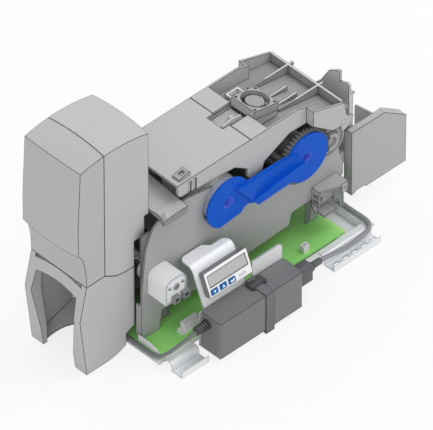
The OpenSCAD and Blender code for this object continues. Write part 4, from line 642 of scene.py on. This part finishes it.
# Fan rotor
# One plastic moulding: a broad hub cap and seven pitched blades, pressed on the frame's pin.
rotor_grey = finish_of("rotor_grey", "#9a9a9a", rough=0.45, mottle=0.04)
fan_place, fan_turn = (0.053, 0.0286, 0.185), math.radians(11.0)
cap_r, cap_h, cap_lift = 0.0102, 0.0070, 0.0004
blade_count, blade_w, blade_l, blade_t, blade_at = 7, 0.0042, 0.0082, 0.0007, 0.0117
blade_camber, blade_pitch = 0.0006, math.radians(34.0)
impeller = turned(cap_r, cap_h, (0.0, 0.0, 0.0), "Z", vertices=64)
impeller.name = "fan_impeller"


def soften(piece, width, segments, angle=30.0):
    bevel = piece.modifiers.new("round", "BEVEL")
    bevel.width = width
    bevel.segments = segments
    bevel.limit_method = "ANGLE"
    bevel.angle_limit = math.radians(angle)
    bpy.ops.object.modifier_apply(modifier=bevel.name)


def thicken(piece, thickness, offset=0.0):
    wall = piece.modifiers.new("wall", "SOLIDIFY")
    wall.thickness = thickness
    wall.offset = offset
    bpy.ops.object.modifier_apply(modifier=wall.name)


soften(impeller, width=0.0013, segments=4)
for number in range(blade_count):
    around = math.radians(360.0 / blade_count * number)
    bpy.ops.mesh.primitive_grid_add(x_subdivisions=4, y_subdivisions=6, size=1.0)
    blade = bpy.context.object
    bpy.ops.transform.resize(value=(blade_w, blade_l, 1.0))
    bpy.ops.object.transform_apply(location=True, rotation=True, scale=True)
    for point in blade.data.vertices:
        point.co.z = blade_camber * math.sin(point.co.y / blade_l * math.pi)
    blade.rotation_euler = (blade_pitch, 0.0, 0.0)
    bpy.ops.object.transform_apply(location=False, rotation=True, scale=False)
    blade.location = (blade_at * math.cos(around), blade_at * math.sin(around), -cap_lift)
    blade.rotation_euler = (0.0, 0.0, around)
    bpy.ops.object.transform_apply(location=True, rotation=True, scale=True)
    thicken(blade, blade_t)
    join_to(impeller)
impeller.rotation_euler = (0.0, fan_turn, 0.0)
impeller.location = fan_place
bpy.ops.object.transform_apply(location=True, rotation=True, scale=True)
bpy.ops.object.shade_smooth_by_angle(angle=math.radians(35.0))
impeller.data.materials.append(rotor_grey)
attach(impeller, "fan")
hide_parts("fan_rotor")
bpy.ops.object.select_all(action="DESELECT")

# Pocket in the lid
# Ahead of the fan the cover is cut open over a shallow moulded shelf, and a lever with a stout
# pin lies along its near edge. It frees the print head for cleaning.
pocket_grey = finish_of("pocket_grey", "#b0b0b0", rough=0.55, mottle=0.03)
lever_grey = finish_of("lever_grey", "#bdbdbd", rough=0.45, mottle=0.04)
pocket_l, pocket_w, pocket_rim, pocket_t = 0.0320, 0.0228, 0.0038, 0.0008
bpy.ops.mesh.primitive_plane_add(size=1.0, location=(0.0180, 0.0325, 0.1806))
pocket = bpy.context.object
pocket.name = "pocket_shelf"
bpy.ops.transform.resize(value=(pocket_l, pocket_w, 1.0))
bpy.ops.object.transform_apply(location=True, rotation=True, scale=True)
bpy.ops.object.mode_set(mode="EDIT")
bpy.ops.mesh.select_all(action="DESELECT")
bpy.ops.object.mode_set(mode="OBJECT")
for edge in pocket.data.edges:
    first, second = (pocket.data.vertices[i].co for i in edge.vertices)
    edge.select = abs(first.y - second.y) < 0.0001 or max(first.x, second.x) < 0.0030
bpy.ops.object.mode_set(mode="EDIT")
bpy.ops.mesh.extrude_edges_move(TRANSFORM_OT_translate={"value": (0.0, 0.0, pocket_rim)})
bpy.ops.object.mode_set(mode="OBJECT")
thicken(pocket, pocket_t)
lever_low, lever_h, lever_start, lever_l = 0.1810, 0.0054, 0.004, 0.025
lever_arch, lever_sweep = 0.0022, 0.0012
lever = block((0.0175, 0.0238, lever_low + lever_h / 2.0), (0.0270, 0.0034, lever_h))
lever.name = "head_lever"
bpy.ops.object.mode_set(mode="EDIT")
bpy.ops.mesh.select_all(action="SELECT")
bpy.ops.mesh.subdivide(number_cuts=7)
bpy.ops.object.mode_set(mode="OBJECT")
for point in lever.data.vertices:
    rise = max(0.0, (point.co.z - lever_low) / lever_h)
    along = (point.co.x - lever_start) / lever_l
    point.co.z += rise * lever_arch * math.sin(along * math.pi)
    point.co.y += rise * lever_sweep * along
soften(lever, width=0.0005, segments=2)
pin_r, pin_l = 0.0030, 0.0064
lever_pin = turned(pin_r, pin_l, (0.0210, 0.0284, 0.1844), "Y", vertices=40)
lever_pin.name = "lever_pin"
soften(lever_pin, width=0.0005, segments=2)
for piece, mat in ((pocket, pocket_grey), (lever, lever_grey), (lever_pin, lever_grey)):
    piece.data.materials.append(mat)
    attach(piece, "lid")
bpy.ops.object.select_all(action="DESELECT")

# Rear shade sheet
# A thin dark sheet inside the far plate closes the corner behind the gears. It is painted shade,
# not a real part: its dark colour stands in for the shadow in that corner.
shade_sheet_dark = finish_of("shade_sheet_dark", "#4a4a4a", rough=0.6, mottle=0.04, line="#2c2c2c")
shade_sheet_l, shade_sheet_h, shade_sheet_t = 0.0280, 0.0540, 0.0008
bpy.ops.mesh.primitive_plane_add(
    size=1.0, location=(0.1240, 0.0754, 0.0370), rotation=(math.radians(90.0), 0.0, 0.0),
)
shade_sheet = bpy.context.object
shade_sheet.name = "rear_shade_sheet"
bpy.ops.object.transform_apply(location=False, rotation=True, scale=True)
bpy.ops.transform.resize(value=(shade_sheet_l, 1.0, shade_sheet_h))
bpy.ops.object.transform_apply(location=True, rotation=True, scale=True)
thicken(shade_sheet, shade_sheet_t)
soften(shade_sheet, width=0.0002, segments=2)
shade_sheet.data.materials.append(shade_sheet_dark)
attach(shade_sheet, "printer")
bpy.ops.object.select_all(action="DESELECT")

# Rear end
# Grey mouldings behind the lid: the post on two arms from the rear beam, its bracket, the hinged
# reject flap and the corner of the outer casing. The black mains inlet sits on the pan's rim.
rear_grey = finish_of("rear_grey", "#aaaaaa", rough=0.5, mottle=0.04, line="#3c3c3c")
flap_grey = finish_of("flap_grey", "#b0b0b0", rough=0.5, mottle=0.03)
cover_grey = finish_of("cover_grey", "#acacac", rough=0.55, mottle=0.025)
socket_black = finish_of("socket_black", "#4b4b4d", rough=0.5, mottle=0.05, line="#222222")
post_grey = finish_of("post_grey", "#c6c6c6", rough=0.5, mottle=0.04, line="#3c3c3c")
for node, mat in (
    ("rear_post", post_grey), ("rear_bracket", rear_grey), ("reject_flap", flap_grey),
    ("rear_cover", cover_grey), ("mains_inlet", socket_black),
):
    dress(node, mat)

# Power supply
# A satin dark case in the bracket's cradle, held down by a woven strap. The rubber strain relief
# of the power lead sits in its front end.
supply_grey = finish_of("supply_grey", "#727272", rough=0.45, mottle=0.04, line="#3a3b3d")
strap_grey = finish_of("strap_grey", "#707173", rough=0.8, grain=0.0006, mottle=0.15, bump=0.5,
                       line="#4a4a4a")
plug_grey = finish_of("plug_grey", "#56575a", rough=0.5, mottle=0.04, line="#2c2c2e")
strap_tree = strap_grey.node_tree
strap_place = add_node(strap_tree, "TexCoord", {})
strap_weave = add_node(strap_tree, "TexChecker", {
    "Scale": 900.0, "Vector": strap_place.outputs["Object"],
})
strap_relief = next(n for n in strap_tree.nodes if n.type == "BUMP")
feed(strap_tree, strap_relief, {"Height": strap_weave.outputs["Fac"]})
dress("power_supply", supply_grey)
dress("supply_strap", strap_grey)
dress("strain_relief", plug_grey)

# Strap buckle
# A black nylon moulding, narrow at its waist and winged at both ends, with a crowned face. The
# strap is threaded through it.
buckle_black = finish_of("buckle_black", "#3c3d3f", rough=0.4, mottle=0.04, line="#0c0c0c",
                         edge=0.001)
buckle_low, buckle_high = (Vector(c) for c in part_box("strap_buckle"))
buckle_size = buckle_high - buckle_low
buckle_mid = (buckle_low + buckle_high) / 2.0
crown, edge_drop = 0.0011, 0.0012
waist_share, wing_start, wing_cut = 0.62, 0.82, 0.30
bpy.ops.mesh.primitive_plane_add(size=1.0, location=(buckle_mid.x, buckle_mid.y, buckle_low.z))
buckle = bpy.context.object
buckle.name = "winged_buckle"
bpy.ops.transform.resize(value=(buckle_size.x, buckle_size.y, 1.0))
bpy.ops.object.transform_apply(location=True, rotation=True, scale=True)
bpy.ops.object.mode_set(mode="EDIT")
bpy.ops.mesh.subdivide(number_cuts=23)
bpy.ops.object.mode_set(mode="OBJECT")
for point in buckle.data.vertices:
    u = (point.co.x - buckle_mid.x) / (buckle_size.x / 2.0)
    v = (point.co.y - buckle_mid.y) / (buckle_size.y / 2.0)
    waist = waist_share + (1.0 - waist_share) * min(1.0, abs(u) ** 2.2 * 1.6)
    waist -= wing_cut * max(0.0, abs(u) - wing_start) / (1.0 - wing_start)
    point.co.y = buckle_mid.y + v * waist * buckle_size.y / 2.0
    point.co.z += crown * (1.0 - min(1.0, abs(v))) * (1.0 - abs(u) * 0.4)
bpy.ops.object.mode_set(mode="EDIT")
raise_sheet(buckle_size.z - edge_drop)
soften(buckle, width=0.0004, segments=2)
buckle.data.materials.append(buckle_black)
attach(buckle, "printer")
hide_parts("strap_buckle")
bpy.ops.object.select_all(action="DESELECT")

# Mains plug
# A moulded connector of dark rubber with a domed top. It is pushed into the supply's end, and a
# stepped boot carries the lead out of it.
plug_low, plug_high = (Vector(c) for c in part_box("mains_plug"))
plug_size = plug_high - plug_low
plug_mid = (plug_low + plug_high) / 2.0
body_share, dome_share = 0.54, 0.42
body_l = plug_size.x * body_share
plug = block(
    (plug_low.x + body_l / 2.0, plug_mid.y, plug_mid.z), (body_l, plug_size.y, plug_size.z),
)
plug.name = "moulded_plug"
pick_long_edges(plug, axis=0, shortest=body_l / 2.0, above=plug_mid.z)
bpy.ops.mesh.bevel(offset=plug_size.y * dome_share, segments=8, affect="EDGES")
bpy.ops.object.mode_set(mode="OBJECT")
soften(plug, width=0.0012, segments=3, angle=40.0)
# Each step of the boot: its start and end as shares of the plug's length, and its radius
for start, end, radius in ((0.50, 0.66, 0.0054), (0.62, 0.70, 0.0046), (0.66, 1.0, 0.0036)):
    boot_x = plug_low.x + plug_size.x * (start + end) / 2.0
    step = turned(radius, plug_size.x * (end - start), (boot_x, plug_mid.y, plug_mid.z), "X",
                  vertices=40)
    soften(step, width=0.0006, segments=2)
    join_to(plug)
bpy.ops.object.shade_smooth_by_angle(angle=math.radians(35.0))
plug.data.materials.append(plug_grey)
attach(plug, "printer")
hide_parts("mains_plug")
bpy.ops.object.select_all(action="DESELECT")

# Leads
# A grey mains lead runs from the plug at the supply's end back to the inlet, and a thinner dark
# lead runs from the strain relief round the pan's front corner to the board.
lead_grey = finish_of("lead_grey", "#8a8c8f", rough=0.5, mottle=0.04, line="#4a4a4c")
dark_lead = finish_of("dark_lead", "#707275", rough=0.5, mottle=0.04, line="#3a3a3c")


def laid_lead(name, route, radius, mat):
    line = bpy.data.curves.new(name, "CURVE")
    line.dimensions = "3D"
    line.bevel_depth = radius
    line.bevel_resolution = 5
    line.resolution_u = 8
    line.use_fill_caps = True
    run = line.splines.new("BEZIER")
    run.bezier_points.add(len(route) - 1)
    for point, place in zip(run.bezier_points, route):
        point.co = [v / 1000.0 for v in place]
        point.handle_left_type = "AUTO"
        point.handle_right_type = "AUTO"
    lead = bpy.data.objects.new(name, line)
    studio.collection.objects.link(lead)
    line.materials.append(mat)
    bpy.context.view_layer.update()
    return lead, run.calc_length()


# The routes' points are in millimetres
mains_route = [
    (55, -65, 33), (62, -64.5, 31.9), (72, -63, 28.6), (86, -60.5, 23.5), (102, -58, 19),
    (118, -55.5, 16.8), (128.8, -53.8, 15.8), (136, -51.3, 15.2), (141.3, -46.9, 14.6),
    (144.8, -40.8, 13.9), (146, -34, 13.3), (146, -20, 12.8), (146, -8, 12.8), (146, 4, 13.4),
    (146, 12, 14.2), (146, 20, 15),
]
power_route = [
    (-113, -60, 40), (-116, -59.5, 38.5), (-120, -58, 35), (-127, -54, 28.5), (-134, -50, 22.5),
    (-140, -46, 17.5), (-144.5, -41, 14), (-146.4, -34, 12.5), (-147, -26, 12.2),
    (-147, -14, 12.2), (-147, -2, 12.2), (-146.5, 8, 12.6), (-145.2, 16, 14.3),
    (-142, 22, 15.6), (-139.6, 26, 16.2), (-139, 30, 16.5),
]
for name, node, route, radius, mat in (
    ("mains_cable", "mains_lead", mains_route, 0.0025, lead_grey),
    ("power_cable", "power_lead", power_route, 0.002, dark_lead),
):
    cable, length = laid_lead(name, route, radius, mat)
    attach(cable, "printer")
    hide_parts(node)

# Display bracket
# One white painted sheet. It cradles the supply, rises behind the display and rolls over into a
# wavy shelf. A rounded tab stands to the right of the display.
sheet_white = finish_of("sheet_white", "#eaecee", rough=0.4, metal=0.1, grain=0.0008,
                        mottle=0.04, stretch=rolled_along_x, line="#9a9c9e")
sheet_t = 0.0014


def bracket_sheet(xs, rows, place):
    bpy.ops.mesh.primitive_grid_add(x_subdivisions=len(xs) - 1, y_subdivisions=rows, size=1.0)
    sheet = bpy.context.object
    for v in sheet.data.vertices:
        x = xs[round((v.co.x + 0.5) * (len(xs) - 1))]
        v.co = [c / 1000.0 for c in place(x, v.co.y + 0.5)]
    thicken(sheet, sheet_t, offset=-1.0)
    return sheet


# All in millimetres, from the fold above the supply to the shelf's back edge
bracket_y, bracket_foot, fold_z, shelf_top, roll_r, corner_r = -49.2, 3.5, 48.0, 92.0, 9.0, 8.0
panel_tilt = 22.6
left_corner, right_corner, back_left, back_right = -83.0, -41.0, -20.0, -27.0
back_mid, wave_h, wave_from, wave_l = -12.0, 7.0, -61.0, 9.0
lean = math.radians(panel_tilt)
turn = math.radians(90.0) - lean
straight = (shelf_top - fold_z) / math.cos(lean) - roll_r * math.tan(turn / 2.0)
arc_l = roll_r * turn
arc_y = bracket_y + straight * math.sin(lean)
arc_z = fold_z + straight * math.cos(lean)
flat_y = bracket_y + (shelf_top - fold_z) * math.tan(lean) + roll_r * math.tan(turn / 2.0)


def shelf_back(x):
    if x < left_corner:
        return back_left + math.sqrt(max(0.0, corner_r ** 2 - (x - left_corner) ** 2))
    if x > right_corner:
        return back_right + math.sqrt(max(0.0, corner_r ** 2 - (x - right_corner) ** 2))
    step = min(1.0, max(0.0, (x - wave_from) / wave_l))
    return back_mid - wave_h * step * step * (3.0 - 2.0 * step)


def rolled(x, share):
    along = share * (straight + arc_l + shelf_back(x) - flat_y)
    if along < straight:
        return x, bracket_y + along * math.sin(lean), fold_z + along * math.cos(lean)
    if along < straight + arc_l:
        angle = (along - straight) / roll_r
        out_y = roll_r * (math.cos(lean) - math.cos(lean + angle))
        return x, arc_y + out_y, arc_z + roll_r * (math.sin(lean + angle) - math.sin(lean))
    return x, flat_y + along - straight - arc_l, shelf_top


def upright(x, share):
    top = fold_z
    if x > tab_left:
        past = max(0.0, x - bracket_right + tab_round)
        top = tab_top + math.sqrt(max(0.0, tab_round ** 2 - past ** 2))
    return x, bracket_y, bracket_foot + share * (top - bracket_foot)


bracket_left, bracket_right, tab_left, tab_top, tab_round = -97.0, 17.0, -25.0, 65.0, 6.0
rounds = [1.0 - math.cos(math.radians(a)) for a in range(0, 91, 6)]
shelf_xs = [left_corner - corner_r + corner_r * r for r in rounds]
shelf_xs += [left_corner + i for i in range(1, 42)]
shelf_xs += [right_corner + corner_r - corner_r * r for r in reversed(rounds)]
shelf_side = bracket_sheet(shelf_xs, 64, rolled)
tab_xs = [bracket_left, -60.0, tab_left, tab_left + 0.01, -10.0, 0.0]
tab_xs += [bracket_right - tab_round * r for r in reversed(rounds)]
bracket = bracket_sheet(tab_xs, 8, upright)
bracket.name = "rolled_bracket"
# The cradle's floor, its two parts beside the strap, and the foot on the pan's rim
strap_left, strap_right = -35.3, -23.4
for low, high in (
    ((bracket_left, -78.5, 3.5), (bracket_right, -51.3, 4.9)),
    ((bracket_left, -51.3, 3.5), (strap_left, -47.8, 4.9)),
    ((strap_right, -51.3, 3.5), (bracket_right, -47.8, 4.9)),
    ((-93.0, -47.9, 10.0), (13.0, -42.0, 11.4)),
):
    block([(a + b) / 2000.0 for a, b in zip(low, high)],
          [(b - a) / 1000.0 for a, b in zip(low, high)])
    join_to(bracket)
shelf_side.select_set(True)
bpy.ops.object.join()
bpy.ops.object.shade_smooth_by_angle(angle=math.radians(30.0))
bracket.data.materials.append(sheet_white)
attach(bracket, "printer")
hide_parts("display_bracket")
bpy.ops.object.select_all(action="DESELECT")

# Display
# A moulded housing with grey sides and a white face stands against the bracket. Its window is
# glazed, and three moulded blue keys on springs sit below.
panel_right = Vector((1.0, 0.0, 0.0))
panel_normal = Vector((0.0, -0.9232, 0.3843))
panel_up = Vector((0.0, 0.3843, 0.9232))
housing_white = finish_of("housing_white", "#707275", rough=0.45, mottle=0.02, line="#5c5e60")
second_colour(housing_white, "#f1f1f1", panel_normal, 0.95, by_normal=True, soft=0.02)
window_grey = finish_of("window_grey", "#b5b5b5", rough=0.18, mottle=0.02, bump=0.0,
                        line="#55575a", coat=0.5)
key_blue = finish_of("key_blue", "#0a6ab5", rough=0.45, mottle=0.02, line="#0a4a82",
                     edge=0.0003, specular=0.15)
dress("display_housing", housing_white)
dress("display_window", window_grey)
for node in ("down_button", "up_button", "enter_button"):
    dress(node, key_blue)

# Marks on the keys and the panel
# White arrows are moulded flush into the blue keys: down, up and enter. A grey lamp window and
# a small white stud sit in the panel beside them.
mark_white = finish_of("mark_white", "#fafafa", rough=0.4, mottle=0.01, line="#e0e0e0",
                       edge=0.0001, edge_strength=0.2)
lamp_grey = finish_of("lamp_grey", "#cfd1d4", rough=0.25, mottle=0.02, line="#bcbec1",
                      edge=0.0002, edge_strength=0.4, coat=0.4)


def panel_mark(name, place, shapes, proud, mat, body):
    mark = None
    for kind, (at_x, at_y), (size, second) in shapes:
        spot = (at_x, at_y, 0.0)
        if kind == "arrow":
            bpy.ops.mesh.primitive_circle_add(
                vertices=3, radius=size, fill_type="NGON", location=spot,
                rotation=(0.0, 0.0, second),
            )
        elif kind == "bar":
            bpy.ops.mesh.primitive_plane_add(size=1.0, location=spot)
            bpy.ops.transform.resize(value=(size, second, 1.0))
        else:
            bpy.ops.mesh.primitive_circle_add(
                vertices=32, radius=size, fill_type="NGON", location=spot,
            )
            for point in bpy.context.object.data.vertices:
                point.co.x += math.copysign(second, point.co.x)
        bpy.ops.object.transform_apply(location=True, rotation=True, scale=True)
        if mark:
            join_to(mark)
        else:
            mark = bpy.context.object
            mark.name = name
    bpy.ops.object.mode_set(mode="EDIT")
    raise_sheet(2.0 * proud)
    mark.rotation_euler = (math.radians(90.0 - panel_tilt), 0.0, 0.0)
    mark.location = place - panel_normal * proud
    bpy.ops.object.transform_apply(location=True, rotation=True, scale=True)
    mark.data.materials.append(mat)
    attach(mark, body)
    bpy.ops.object.select_all(action="DESELECT")


# From the middle of a key's box to its face
key_proud = 0.0014


def key_top(key):
    key_low, key_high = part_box(key + "_button")
    return (Vector(key_low) + Vector(key_high)) / 2.0 + panel_normal * key_proud


# Each shape: its kind, its place, and a radius with a turn, a length with a width, or a radius
# with the half length between its round ends
arrow_shapes = {
    "down": [("arrow", (0.0, 0.0003), (0.0021, math.pi))],
    "up": [("arrow", (0.0, -0.0003), (0.0021, 0.0))],
    "enter": [
        ("arrow", (-0.0014, -0.0004), (0.0018, math.pi / 2.0)),
        ("bar", (0.0010, -0.0004), (0.0030, 0.0014)),
        ("bar", (0.0019, 0.0010), (0.0012, 0.0014)),
    ],
}
for key, shapes in arrow_shapes.items():
    panel_mark(key + "_mark", key_top(key), shapes, 0.00012, mark_white,
               key + "_key")
panel_foot = key_top("down") - panel_normal * 0.001 - panel_right * 0.0074 - panel_up * 0.005
panel_mark("status_lamp", panel_foot + panel_right * 0.0455 + panel_up * 0.0048,
           [("dot", (0.0, 0.0), (0.0018, 0.0033))],
           0.0002, lamp_grey, "printer")
panel_mark("panel_stud", panel_foot + panel_right * 0.0535 + panel_up * 0.0046,
           [("dot", (0.0, 0.0), (0.0019, 0.0))], 0.0003, mark_white, "printer")
